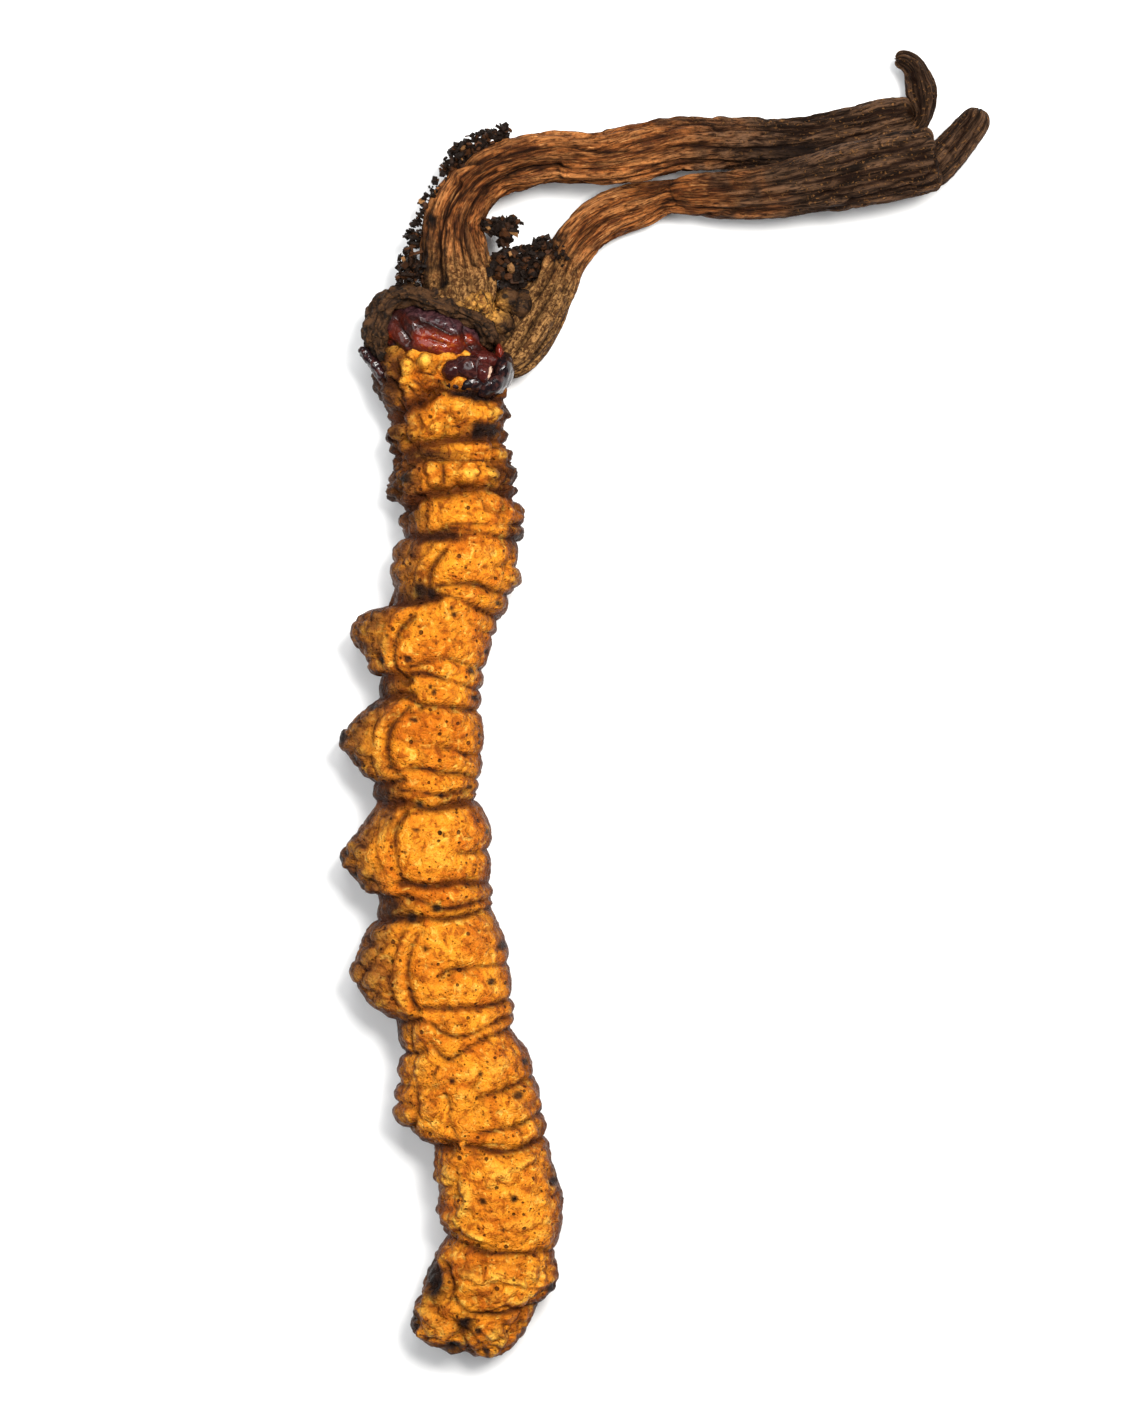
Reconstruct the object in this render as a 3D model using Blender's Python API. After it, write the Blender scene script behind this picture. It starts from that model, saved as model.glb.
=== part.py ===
"""A dried cordyceps fungus lying on its side.

The mummified larva lies along Y with its head towards +Y and its belly
towards -X. Out of its head grows a collar of fungal skin, which forks into two
stromata, the stalked fruiting bodies. Crumbs of soil still cling to the stalks.
The origin is on the resting surface, under the middle of the whole outline.
"""

import math

import bmesh
import bpy
from mathutils import Matrix, Vector, noise

MM = 0.001

# Driving dimensions, in millimetres.
GAP = 0.3                    # air kept between pieces that touch
BODY_Z = 2.30                # height of the larva's axis
BODY_RINGS = 76
BODY_SIDES = 24
STALK_RINGS = 44
STALK_SIDES = 12
FOLD = 0.05                  # how far each ring of the larva swells
HEAD_AT = (-10.38, 16.62, 2.35)
HEAD_HALF = (2.45, 1.50, 2.00)
HOOD_WALL = (0.60, 0.75, 0.33)
HOOD_EDGE_Y = 16.3           # the hood covers the head beyond this line
FORK_AT = (-7.75, 17.45, 2.2)
FORK_HALF = (1.15, 0.95, 1.3)
SOIL_ROUGHNESS = 0.28

# The larva's sections: (y, middle x, half width, half height).
BODY_SECTIONS = [
    (14.9, -10.3, 1.7, 1.5), (14.4, -10.2, 2.45, 2.1), (13.4, -10.05, 2.65, 2.3),
    (11.3, -9.75, 2.5, 2.33), (9.1, -9.45, 2.55, 2.36), (6.4, -9.54, 2.6, 2.38),
    (4.2, -9.9, 2.5, 2.37), (1.6, -10.6, 2.4, 2.35), (-1.7, -10.8, 2.45, 2.35),
    (-4.6, -10.75, 2.4, 2.35), (-7.4, -10.55, 2.55, 2.36), (-10.2, -10.2, 2.6, 2.38),
    (-13.4, -9.8, 2.7, 2.40), (-16.6, -9.05, 2.8, 2.42), (-19.8, -8.3, 2.7, 2.40),
    (-22.6, -7.6, 2.68, 2.38), (-25.2, -7.6, 2.52, 2.3), (-27.3, -8.35, 2.45, 2.1),
    (-28.6, -8.6, 1.8, 1.5), (-29.35, -8.65, 0.8, 0.7),
]

# Where one ring of the body ends and the next begins, from the head down.
CREASES = [14.9, 11.6, 9.0, 7.2, 4.6, 1.0, -3.8, -8.1, -13.3, -17.2, -20.0, -24.4, -27.3, -29.4]

# False legs on the belly side: (y of the foot, how far it stands out).
PROLEGS = [(3.0, 1.75), (-1.8, 1.45), (-7.0, 1.7), (-12.0, 1.65)]
PROLEG_HALF_LENGTH = 1.15
PROLEG_ANGLE = math.radians(24)    # a pair of feet lies this far either side of the belly's middle
PROLEG_SPREAD = math.radians(26)

# Stalks: (x, y, z, half width, half height) along the middle of each.
UPPER_STALK = [
    (-9.35, 17.6, 2.4, 1.5, 1.35), (-9.41, 18.9, 2.4, 1.55, 1.40),
    (-9.6, 20.7, 2.4, 1.33, 1.25), (-9.5, 22.0, 2.45, 1.2, 1.15),
    (-8.95, 23.1, 2.5, 1.1, 1.05), (-7.95, 23.9, 2.6, 1.08, 1.0),
    (-6.55, 24.3, 2.8, 1.12, 1.0), (-4.75, 24.45, 2.95, 1.1, 1.0),
    (-2.95, 24.4, 3.0, 1.08, 1.0), (-1.15, 24.75, 2.8, 1.2, 1.05),
    (0.65, 25.2, 2.3, 1.17, 1.05), (3.3, 25.35, 1.5, 1.12, 1.05),
    (6.0, 25.45, 1.0, 1.12, 1.02), (8.7, 25.75, 0.95, 1.08, 0.98),
    (10.5, 26.2, 0.98, 0.93, 0.9), (11.4, 26.9, 1.15, 0.68, 0.66),
    (11.66, 27.9, 1.3, 0.6, 0.58), (11.25, 28.65, 1.4, 0.5, 0.48),
    (10.7, 29.0, 1.45, 0.36, 0.34),
]
LOWER_STALK = [
    (-7.1, 15.6, 1.8, 1.15, 1.2), (-6.5, 16.4, 1.75, 1.25, 1.25),
    (-5.85, 17.5, 1.65, 1.15, 1.15), (-5.1, 18.9, 1.5, 0.98, 1.0),
    (-4.28, 20.5, 1.35, 0.93, 0.95), (-2.95, 21.75, 1.25, 0.96, 0.92),
    (-1.15, 22.45, 1.3, 0.9, 0.88), (0.1, 22.85, 1.5, 0.72, 0.72),
    (1.55, 22.95, 1.8, 0.95, 0.9), (4.2, 22.95, 2.4, 1.08, 1.0),
    (6.9, 23.35, 3.0, 1.28, 1.08), (8.9, 23.7, 3.3, 1.42, 1.12),
    (10.75, 24.1, 3.35, 1.4, 1.08), (11.85, 24.4, 3.2, 1.05, 0.9),
    (12.75, 25.1, 2.8, 0.72, 0.7), (13.6, 26.0, 2.5, 0.6, 0.58),
    (14.25, 26.75, 2.35, 0.36, 0.34),
]

# Dark jaws and lip below the head, and the hooked leg on the belly side.
MOUTH_AT = (-8.9, 14.95, 4.15)
MOUTH_HALF = (1.15, 0.6, 0.6)
LEG = [
    (-12.2, 15.05, 3.0, 0.42, 0.40), (-12.9, 14.85, 3.1, 0.40, 0.38),
    (-13.45, 15.2, 3.15, 0.32, 0.30), (-13.7, 15.85, 3.15, 0.14, 0.14),
]

# Soil lumps: name -> middle, half sizes and turn about Z in degrees.
SOIL = {
    "soil_bend": ((-8.7, 25.05, 2.6), (1.75, 0.75, 0.95), 38),
    "soil_side": ((-11.75, 20.2, 2.4), (0.8, 2.0, 1.0), -8),
    "soil_crook": ((-7.35, 21.4, 2.4), (0.85, 1.0, 0.9), 20),
    "soil_fork": ((-6.75, 19.4, 2.6), (0.85, 0.9, 0.9), 15),
}

COLOURS = {
    "larva_skin": ((0.42, 0.17, 0.035, 1), 0.45),
    "head_shell": ((0.26, 0.045, 0.02, 1), 0.25),
    "dark_shell": ((0.035, 0.012, 0.008, 1), 0.25),
    "fungal_skin": ((0.17, 0.11, 0.08, 1), 0.75),
    "stroma_bark": ((0.16, 0.06, 0.025, 1), 0.7),
    "soil": ((0.02, 0.015, 0.012, 1), 0.9),
}


def smooth(points, t):
    """The point at t, from 0 to 1, on a Catmull-Rom curve through the points."""
    last = len(points) - 1
    span = min(int(t * last), last - 1)
    f = t * last - span
    before, start = points[max(span - 1, 0)], points[span]
    end, after = points[span + 1], points[min(span + 2, last)]
    return [
        0.5 * (2 * b + (c - a) * f + (2 * a - 5 * b + 4 * c - d) * f ** 2
               + (3 * b - a - 3 * c + d) * f ** 3)
        for a, b, c, d in zip(before, start, end, after)
    ]


def grown(half, by):
    return [size + by for size in half]


# Meshes, drawn in millimetres.

def loft(frames, sides):
    """A closed skin: a unit circle, extruded from each frame to the next."""
    bm = bmesh.new()
    start = bmesh.ops.create_circle(bm, cap_ends=True, segments=sides, radius=1.0)
    bmesh.ops.transform(bm, matrix=frames[0], verts=start["verts"])
    rim = bm.edges[:]
    for here, there in zip(frames, frames[1:]):
        made = bmesh.ops.extrude_edge_only(bm, edges=rim)["geom"]
        new = {g for g in made if isinstance(g, bmesh.types.BMVert)}
        rim = list({e for v in new for e in v.link_edges if e.other_vert(v) in new})
        bmesh.ops.transform(bm, matrix=there @ here.inverted(), verts=list(new))
    bmesh.ops.edgeloop_fill(bm, edges=rim)
    return bm


def section_frame(at, ahead, wide, high):
    """Places a unit circle across the path, its width level and its height upright."""
    forward = ahead.normalized()
    across = forward.cross(Vector((0, 0, 1))).normalized()
    turn = Matrix((across, across.cross(forward), forward)).transposed().to_4x4()
    return Matrix.Translation(at) @ turn @ Matrix.Diagonal((wide, high, 1, 1))


def tube(path, rings, sides, extra=0.0):
    """A loft along a path of (x, y, z, half width, half height), fatter by extra."""
    frames = []
    for i in range(rings + 1):
        t = i / rings
        x, y, z, wide, high = smooth(path, t)
        ahead = Vector(smooth(path, min(t + 0.01, 1))[:3]) - Vector(smooth(path, max(t - 0.01, 0))[:3])
        frames.append(section_frame(Vector((x, y, z)), ahead, wide + extra, high + extra))
    return loft(frames, sides)


def ring_swell(y):
    """How much wider the larva is at y than its section."""
    for top, bottom in zip(CREASES, CREASES[1:]):
        if bottom <= y <= top:
            return 1 + FOLD * math.sin(math.pi * (top - y) / (top - bottom)) ** 0.6
    return 1.0


def proleg_push(y, angle):
    """How far the skin stands out at y, at an angle round from the belly's middle."""
    round_feet = math.exp(-((abs(angle) - PROLEG_ANGLE) / PROLEG_SPREAD) ** 2)
    along = sum(out * math.exp(-((y - foot) / PROLEG_HALF_LENGTH) ** 2) for foot, out in PROLEGS)
    return along * round_feet


def larva(extra=0.0):
    frames = []
    for i in range(BODY_RINGS + 1):
        y, x, wide, high = smooth(BODY_SECTIONS, i / BODY_RINGS)
        swell = ring_swell(y)
        at = Vector((x, y, BODY_Z))
        frames.append(section_frame(at, Vector((0, -1, 0)), wide * swell + extra, high * swell + extra))
    bm = loft(frames, BODY_SIDES)
    for vert in bm.verts:
        middle = min((frame.translation for frame in frames), key=lambda at: abs(at.y - vert.co.y))
        out = Vector((vert.co.x - middle.x, 0, vert.co.z - middle.z))
        angle = math.atan2(out.z, -out.x)
        vert.co += out.normalized() * proleg_push(vert.co.y, angle)
    return bm


def ball(at, half, detail=3):
    bm = bmesh.new()
    place = Matrix.Translation(at) @ Matrix.Diagonal((*half, 1))
    bmesh.ops.create_icosphere(bm, subdivisions=detail, radius=1.0, matrix=place)
    return bm


def lump(at, half, turn):
    """An irregular lump of soil: a ball pushed in and out by noise."""
    bm = bmesh.new()
    bmesh.ops.create_icosphere(bm, subdivisions=3, radius=1.0)
    for vert in bm.verts:
        vert.co *= 1 + SOIL_ROUGHNESS * noise.noise(vert.co * 1.7 + Vector(at))
    place = Matrix.Translation(at) @ Matrix.Rotation(math.radians(turn), 4, "Z")
    bmesh.ops.transform(bm, matrix=place @ Matrix.Diagonal((*half, 1)), verts=bm.verts)
    return bm


def level_under(bm):
    """Slices off what would lie under the resting surface and closes the cut."""
    cut = bmesh.ops.bisect_plane(
        bm, geom=bm.verts[:] + bm.edges[:] + bm.faces[:], plane_co=(0, 0, 0),
        plane_no=(0, 0, -1), clear_outer=True)
    rim = [g for g in cut["geom_cut"] if isinstance(g, bmesh.types.BMEdge)]
    bmesh.ops.holes_fill(bm, edges=rim)
    return bm


# Objects, in metres.

def new_object(name, bm, slot):
    """Makes the bmesh one named object with its material."""
    bmesh.ops.recalc_face_normals(bm, faces=bm.faces)
    bmesh.ops.transform(bm, matrix=Matrix.Scale(MM, 4), verts=bm.verts)
    mesh = bpy.data.meshes.new(name)
    bm.to_mesh(mesh)
    bm.free()
    mesh.shade_smooth()
    mesh.set_sharp_from_angle(angle=math.radians(50))
    obj = bpy.data.objects.new(name, mesh)
    bpy.context.scene.collection.objects.link(obj)
    obj.data.materials.append(materials[slot])
    return obj


def helper(name, bm):
    """A solid that only shapes others, and isn't part of the object."""
    obj = new_object(name, bm, "soil")
    obj.hide_render = True
    obj.hide_viewport = True
    obj.display_type = "WIRE"
    return obj


def combine(obj, operation, others):
    for other in others:
        step = obj.modifiers.new(operation.lower() + "_" + other.name, "BOOLEAN")
        step.operation = operation
        step.solver = "EXACT"
        step.object = other


# Start from an empty scene.
for old in list(bpy.data.objects):
    bpy.data.objects.remove(old)

materials = {}
for slot, (colour, roughness) in COLOURS.items():
    made = bpy.data.materials.new(slot)
    made.use_nodes = True
    shader = made.node_tree.nodes["Principled BSDF"]
    shader.inputs["Base Color"].default_value = colour
    shader.inputs["Roughness"].default_value = roughness
    shader.inputs["Metallic"].default_value = 0.0
    materials[slot] = made

# Each helper is a neighbour made fatter by the gap, for others to be cut back by.
hood_at = Vector(HEAD_AT) + Vector((0, 0.15, 0))
hood_half = [head + wall for head, wall in zip(HEAD_HALF, HOOD_WALL)]
clear_of_body = helper("clear_of_body", larva(GAP))
clear_of_head = helper("clear_of_head", ball(HEAD_AT, grown(HEAD_HALF, GAP)))
clear_of_hood = helper("clear_of_hood", ball(hood_at, grown(hood_half, GAP)))
clear_of_fork = helper("clear_of_fork", ball(FORK_AT, grown(FORK_HALF, GAP)))
clear_of_upper = helper("clear_of_upper", tube(UPPER_STALK, STALK_RINGS, STALK_SIDES, GAP))
clear_of_lower = helper("clear_of_lower", tube(LOWER_STALK, STALK_RINGS, STALK_SIDES, GAP))
fork_lump = helper("fork_lump", ball(FORK_AT, FORK_HALF))

# The larva, its head and its small hard parts.
body = new_object("larva_body", level_under(larva()), "larva_skin")
head = new_object("head_capsule", ball(HEAD_AT, HEAD_HALF), "head_shell")
combine(head, "DIFFERENCE", [clear_of_body])
mouth = new_object("mouthparts", ball(MOUTH_AT, MOUTH_HALF), "dark_shell")
combine(mouth, "DIFFERENCE", [clear_of_body, clear_of_head])
leg = new_object("foreleg", tube(LEG, 12, 8), "dark_shell")
combine(leg, "DIFFERENCE", [clear_of_body, clear_of_head])

# The collar: a hood over the crown of the head, joined to the root of the fork.
hood = ball(hood_at, hood_half)
open_side = bmesh.ops.bisect_plane(
    hood, geom=hood.verts[:] + hood.edges[:] + hood.faces[:],
    plane_co=(0, HOOD_EDGE_Y, 0), plane_no=(0, -1, 0), clear_outer=True)
bmesh.ops.holes_fill(hood, edges=[g for g in open_side["geom_cut"] if isinstance(g, bmesh.types.BMEdge)])
collar = new_object("collar", hood, "fungal_skin")
combine(collar, "UNION", [fork_lump])
combine(collar, "DIFFERENCE", [clear_of_head, clear_of_body])

# The two stromata, cut back where they grow out of the collar.
for name, path in (("stroma_upper", UPPER_STALK), ("stroma_lower", LOWER_STALK)):
    stroma = new_object(name, level_under(tube(path, STALK_RINGS, STALK_SIDES)), "stroma_bark")
    combine(stroma, "DIFFERENCE", [clear_of_hood, clear_of_fork, clear_of_head, clear_of_body])

# The soil that clings to the stalks.
for name, (at, half, turn) in SOIL.items():
    soil = new_object(name, lump(at, half, turn), "soil")
    combine(soil, "DIFFERENCE", [clear_of_upper, clear_of_lower, clear_of_hood, clear_of_fork])
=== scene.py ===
# %% [markdown]
# # A dried cordyceps
#
# A moth larva, mummified by the fungus that filled it, lies on its side. Two
# stalked fruiting bodies, the stromata, grow out of its head. Everything here
# is drawn in millimetres, because the whole thing is only 59 mm long, and each
# piece is scaled to metres when it is made an object.

# %% The frame
import math
import random

import bmesh
import bpy
import numpy as np
from mathutils import Matrix, Vector, noise


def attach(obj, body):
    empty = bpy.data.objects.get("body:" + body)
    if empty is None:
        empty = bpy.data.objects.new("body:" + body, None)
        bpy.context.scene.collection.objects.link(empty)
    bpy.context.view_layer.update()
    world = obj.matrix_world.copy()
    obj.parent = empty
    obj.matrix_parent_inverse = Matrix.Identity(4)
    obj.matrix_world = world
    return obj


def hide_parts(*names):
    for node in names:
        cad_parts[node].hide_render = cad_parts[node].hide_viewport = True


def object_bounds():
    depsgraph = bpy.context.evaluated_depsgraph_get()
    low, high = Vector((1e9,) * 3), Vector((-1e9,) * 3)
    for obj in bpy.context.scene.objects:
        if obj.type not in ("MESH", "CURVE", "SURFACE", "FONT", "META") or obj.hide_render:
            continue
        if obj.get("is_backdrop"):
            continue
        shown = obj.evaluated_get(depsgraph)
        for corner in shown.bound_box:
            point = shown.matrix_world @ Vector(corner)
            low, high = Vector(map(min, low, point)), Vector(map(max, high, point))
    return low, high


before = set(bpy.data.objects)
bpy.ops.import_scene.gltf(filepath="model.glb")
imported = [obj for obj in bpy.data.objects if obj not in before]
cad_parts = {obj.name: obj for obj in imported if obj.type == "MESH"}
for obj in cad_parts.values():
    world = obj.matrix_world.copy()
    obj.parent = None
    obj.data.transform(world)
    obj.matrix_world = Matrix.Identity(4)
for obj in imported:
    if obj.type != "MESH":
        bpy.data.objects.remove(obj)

MM = 0.001
cad_box = [list(corner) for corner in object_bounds()]
print("pieces in the frame:", sorted(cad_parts))

# %% [markdown]
# ## Tools for grown shapes
#
# A larva, a stalk and a leg are all tubes: a ring of skin carried along a
# curve. We could sculpt them by hand, but a sculpture can't be read or
# repeated. Instead a cylinder is cut into fine rings, and each ring is carried
# to its place on the curve. The same few tools then serve every piece.

# %% A curve through chosen points
def spline(points, t):
    """Catmull-Rom curve through rows of numbers, at each t from 0 to 1."""
    points = np.asarray(points, float)
    last = len(points) - 1
    place = np.clip(np.asarray(t, float), 0, 1) * last
    span = np.minimum(place.astype(int), last - 1)
    f = (place - span)[:, None]
    a, b = points[np.maximum(span - 1, 0)], points[span]
    c, d = points[span + 1], points[np.minimum(span + 2, last)]
    return 0.5 * (2 * b + (c - a) * f + (2 * a - 5 * b + 4 * c - d) * f**2
                  + (3 * b - a - 3 * c + d) * f**3)


def smoothstep(low, high, value):
    f = np.clip((value - low) / (high - low), 0, 1)
    return f * f * (3 - 2 * f)


# %% A fine tube to shape
def unit_tube(sides, rings):
    """A closed tube of radius 1 from z = 0 to z = 1, cut into rings."""
    bm = bmesh.new()
    bmesh.ops.create_cone(bm, cap_ends=True, segments=sides, radius1=1, radius2=1, depth=1,
                          matrix=Matrix.Translation((0, 0, 0.5)))
    long_edges = [e for e in bm.edges if abs(e.verts[0].co.z - e.verts[1].co.z) > 0.5]
    bmesh.ops.subdivide_edges(bm, edges=long_edges, cuts=rings - 1, use_grid_fill=True)
    bmesh.ops.poke(bm, faces=[f for f in bm.faces if len(f.verts) > 4])
    bmesh.ops.recalc_face_normals(bm, faces=bm.faces)
    return bm


def points_of(bm):
    return np.array([v.co for v in bm.verts], float)


def move_to(bm, points):
    for vert, point in zip(bm.verts, points):
        vert.co = point
    bm.normal_update()


def normals_of(bm):
    return np.array([v.normal for v in bm.verts], float)


# %% A tube along a path
STEP_AHEAD = 0.004      # how far along the path, from 0 to 1, to look for its direction
THINNEST_END = 0.02     # an end's smallest share of the tube's width, so that it never folds
FACING = (0.90, 0.30)   # upward part of the normal where skin starts and ends being steep


def tube(path, sides, rings, round_ends):
    """An oval tube along (x, y, z, half width, half height), with rounded ends."""
    bm = unit_tube(sides, rings)
    unit = points_of(bm)
    t = unit[:, 2]
    course = spline(path, t)
    ahead = spline(path, t + STEP_AHEAD)[:, :3] - spline(path, t - STEP_AHEAD)[:, :3]
    ahead /= np.linalg.norm(ahead, axis=1)[:, None]
    sideways = np.cross((0, 0, 1), ahead)
    sideways /= np.linalg.norm(sideways, axis=1)[:, None]
    up = np.cross(ahead, sideways)
    blunt = np.sqrt(1 - (1 - np.clip(t / round_ends[0], 0, 1)) ** 2)
    blunt *= np.sqrt(1 - (1 - np.clip((1 - t) / round_ends[1], 0, 1)) ** 2)
    blunt = np.maximum(blunt, THINNEST_END)
    move_to(bm, course[:, :3] + sideways * (unit[:, 0] * course[:, 3] * blunt)[:, None]
            + up * (unit[:, 1] * course[:, 4] * blunt)[:, None])
    return bm, unit, blunt


def push(bm, base, outward, height, facing=FACING):
    """Moves each point out by its height in mm, but not into the table, and says how steep it is, for painted
    shade on steep sides.
    """
    shaped = base + outward * height[:, None]
    shaped[:, 2] = np.maximum(shaped[:, 2], 0.0)
    move_to(bm, shaped)
    return smoothstep(facing[0], facing[1], normals_of(bm)[:, 2])


# %% Wrinkles from noise
def rough(points, size, seed, octaves=3):
    """Fractal noise, about -1 to 1, with features of the given size in mm."""
    shift = Vector((seed * 7.31, seed * 3.77, seed * 5.19))
    return np.array([noise.fractal(Vector(p) / size + shift, 1.0, 2.0, octaves) for p in points])


def cobbles(points, size):
    """Distance from each point to the nearest of some scattered seeds, in seed spacings."""
    return np.array([noise.voronoi(Vector(p) / size)[0][0] for p in points])


# %% [markdown]
# ## Folds as strokes
#
# Dried skin is a set of swollen pillows with sharp creases between them. Each
# crease is a stroke, a few points drawn on the flank as seen from above. Close
# to a stroke the surface dives steeply, and further off it rounds over, as a
# cushion does beside its seam. That rule turns short lists of points into
# folds, which painting heights by hand would make hard to change.

# %% Distance to a stroke
def along_stroke(stroke, xy):
    """Distance to a stroke, and distance to the nearer of its two ends, in mm."""
    fine = spline(stroke, np.linspace(0, 1, 5 * (len(stroke) - 1) + 1))
    best = np.full(len(xy), 99.0)
    travelled = np.zeros(len(xy))
    start = 0.0
    for a, b in zip(fine, fine[1:]):
        step = b - a
        length = max(np.hypot(*step), 1e-6)
        f = np.clip((xy - a) @ step / length**2, 0, 1)
        gap = np.hypot(*(xy - a - f[:, None] * step).T)
        nearer = gap < best
        best[nearer] = gap[nearer]
        travelled[nearer] = start + f[nearer] * length
        start += length
    return best, np.minimum(travelled, start - travelled)


# %% Carving the strokes
END_FADE = 0.35         # a stroke fades in over this length
END_START = 0.08        # and has already begun to fade in at its very end
LINE = 0.07             # half width of the dark line at the bottom of a crease
FULL_LINE = 0.25        # a crease at least this deep has a fully dark line
SHOULDER = 2.2          # how much wider the gentle shoulder is than the crease


def carve(xy, creases, ridges=()):
    """Height in mm, and the darkness painted along the bottoms of the creases as shade, that the strokes
    give.
    """
    depth = np.zeros(len(xy))
    line = np.zeros(len(xy))
    raised = np.zeros(len(xy))
    for strokes, sign in ((creases, -1), (ridges, 1)):
        for width, amount, stroke in strokes:
            corners = np.array(stroke)
            reach = width * (SHOULDER if sign < 0 else 1)
            low, high = corners.min(0) - reach, corners.max(0) + reach
            near = np.where(((xy > low) & (xy < high)).all(1))[0]
            if not len(near):
                continue
            gap, end = along_stroke(stroke, xy[near])
            fade = smoothstep(0, END_FADE, end + END_START)
            s = np.clip(gap / width, 0, 1)
            if sign < 0:
                pillow = 1 - np.sqrt(1 - (1 - s) ** 2)
                shoulder = 1 - smoothstep(0, 1, gap / reach)
                cut = amount * (0.9 * pillow + 0.35 * shoulder) * fade
                depth[near] = np.cbrt(depth[near] ** 3 + cut ** 3)
                dark = np.exp(-((gap / LINE) ** 2)) * fade * min(1, amount / FULL_LINE)
                line[near] = np.maximum(line[near], dark)
            else:
                raised[near] = np.maximum(raised[near], amount * (1 - s * s) ** 2 * fade)
    return raised - depth, line


# %% Spots and knobs
def dapple(xy, spots, soft=0.5):
    """How strongly each point lies in one of the spots (x, y, radius or radii)."""
    found = np.zeros(len(xy))
    for x, y, *radii in spots:
        gap = np.hypot((xy[:, 0] - x) / radii[0], (xy[:, 1] - y) / radii[-1])
        found = np.maximum(found, 1 - smoothstep(1 - soft, 1 + soft / 3, gap))
    return found


def domes(xy, knobs):
    """Height of round knobs (x, y, radius, height), each with a shallow moat."""
    total = np.zeros(len(xy))
    for x, y, radius, height in knobs:
        s = np.hypot(xy[:, 0] - x, xy[:, 1] - y) / radius
        dome = np.sqrt(1 - np.minimum(s, 1) ** 2)
        moat = 0.4 * np.exp(-(((s - 1.1) / 0.2) ** 2))
        total += height * (dome - moat)
    return total


# %% [markdown]
# ## From a mesh to a piece
#
# Each piece ends the same way: it is scaled to metres and gets its painted
# fields, its material and its place in the frame. One function does it, so
# that no piece can be left out of the frame by mistake.

# %% Making a piece
def make_piece(name, bm, material, slot, *nodes, **fields):
    """One finished object in metres, riding on the frame, with its painted fields."""
    bmesh.ops.transform(bm, matrix=Matrix.Scale(MM, 4), verts=bm.verts)
    mesh = bpy.data.meshes.new(name)
    bm.to_mesh(mesh)
    bm.free()
    for field, values in fields.items():
        kind = "FLOAT" if np.ndim(values) == 1 else "FLOAT_VECTOR"
        data = mesh.attributes.new(field, kind, "POINT").data
        data.foreach_set("value" if kind == "FLOAT" else "vector", np.ravel(values))
    mesh.materials.append(material)
    mesh.shade_smooth()
    obj = bpy.data.objects.new(name, mesh)
    bpy.context.scene.collection.objects.link(obj)
    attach(obj, "root")
    if nodes:
        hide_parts(*nodes)
    print(f"{name}: {len(mesh.polygons)} faces, {obj.dimensions.y / MM:.1f} mm long")
    return obj


# %% [markdown]
# ## Tools for finishes
#
# Every finish is procedural. A shader is a graph, and a graph written out node
# by node is hard to read, so these helpers let a colour be written as one
# sentence: mix this into that, by so much.

# %% Shader helpers
class Finish:
    """A Principled material and short ways to add nodes to it."""

    def __init__(self, name, **settings):
        self.material = bpy.data.materials.new(name)
        self.material.use_nodes = True
        self.tree = self.material.node_tree
        self.shader = self.tree.nodes["Principled BSDF"]
        for socket, value in settings.items():
            self.shader.inputs[socket.replace("_", " ")].default_value = value
        self.place = self.add("ShaderNodeTexCoord").outputs["Object"]

    def add(self, kind, inputs=(), **settings):
        made = self.tree.nodes.new(kind)
        for key, value in settings.items():
            setattr(made, key, value)
        for socket, value in dict(inputs).items():
            self.feed(made.inputs[socket], value)
        return made

    def feed(self, socket, value):
        if isinstance(value, bpy.types.NodeSocket):
            self.tree.links.new(value, socket)
        elif isinstance(value, tuple) and socket.type == "RGBA":
            socket.default_value = (*value, 1)
        else:
            socket.default_value = value

    def field(self, name, output="Fac"):
        return self.add("ShaderNodeAttribute", attribute_name=name).outputs[output]

    def grain(self, size, detail=3, warp=0.0, where=None, roughness=0.5):
        """Noise with features of the given size in mm, or in the units of the field it follows."""
        return self.add("ShaderNodeTexNoise", {
            "Vector": where or self.place, "Scale": 1 / (size * MM) if where is None else 1 / size,
            "Detail": detail, "Distortion": warp, "Roughness": roughness}).outputs["Fac"]

    def cells(self, size, output="Distance"):
        """Scattered cells of the given size in mm: distance to a cell's middle, or its colour."""
        made = self.add("ShaderNodeTexVoronoi", {"Vector": self.place, "Scale": 1 / (size * MM)})
        return made.outputs[output]

    def sharpen(self, value, low, high, to_low=0.0, to_high=1.0):
        """Stretches low..high of a value over to_low..to_high, smoothly."""
        return self.add("ShaderNodeMapRange", {
            "Value": value, "From Min": low, "From Max": high, "To Min": to_low,
            "To Max": to_high}, interpolation_type="SMOOTHSTEP").outputs["Result"]

    def sum(self, operation, first, second):
        made = self.add("ShaderNodeMath", {0: first, 1: second}, operation=operation)
        return made.outputs[0]

    def times(self, value, factor):
        return self.sum("MULTIPLY", value, factor)

    def plus(self, value, other):
        return self.sum("ADD", value, other)

    def broken(self, field, by, low_end, high_end, least, most):
        """A painted field, broken up by a noise."""
        return self.times(field, self.sharpen(by, low_end, high_end, least, most))

    def mix(self, share, colour, other):
        return self.add("ShaderNodeMix", {0: share, 6: colour, 7: other}, data_type="RGBA").outputs[2]

    def layers(self, colour, *coats):
        """Coats of colour, each a share and a colour, laid one over another."""
        for share, coat in coats:
            colour = self.mix(share, colour, coat)
        return colour

    def relief(self, height, depth):
        """Fine relief that the mesh doesn't hold; depth in mm."""
        bump = self.add("ShaderNodeBump", {"Height": height, "Distance": depth * MM, "Strength": 1.0})
        return bump.outputs["Normal"]

    def finish(self, colour, roughness, normal):
        self.feed(self.shader.inputs["Base Color"], colour)
        self.feed(self.shader.inputs["Roughness"], roughness)
        self.feed(self.shader.inputs["Normal"], normal)
        return self.material


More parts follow.
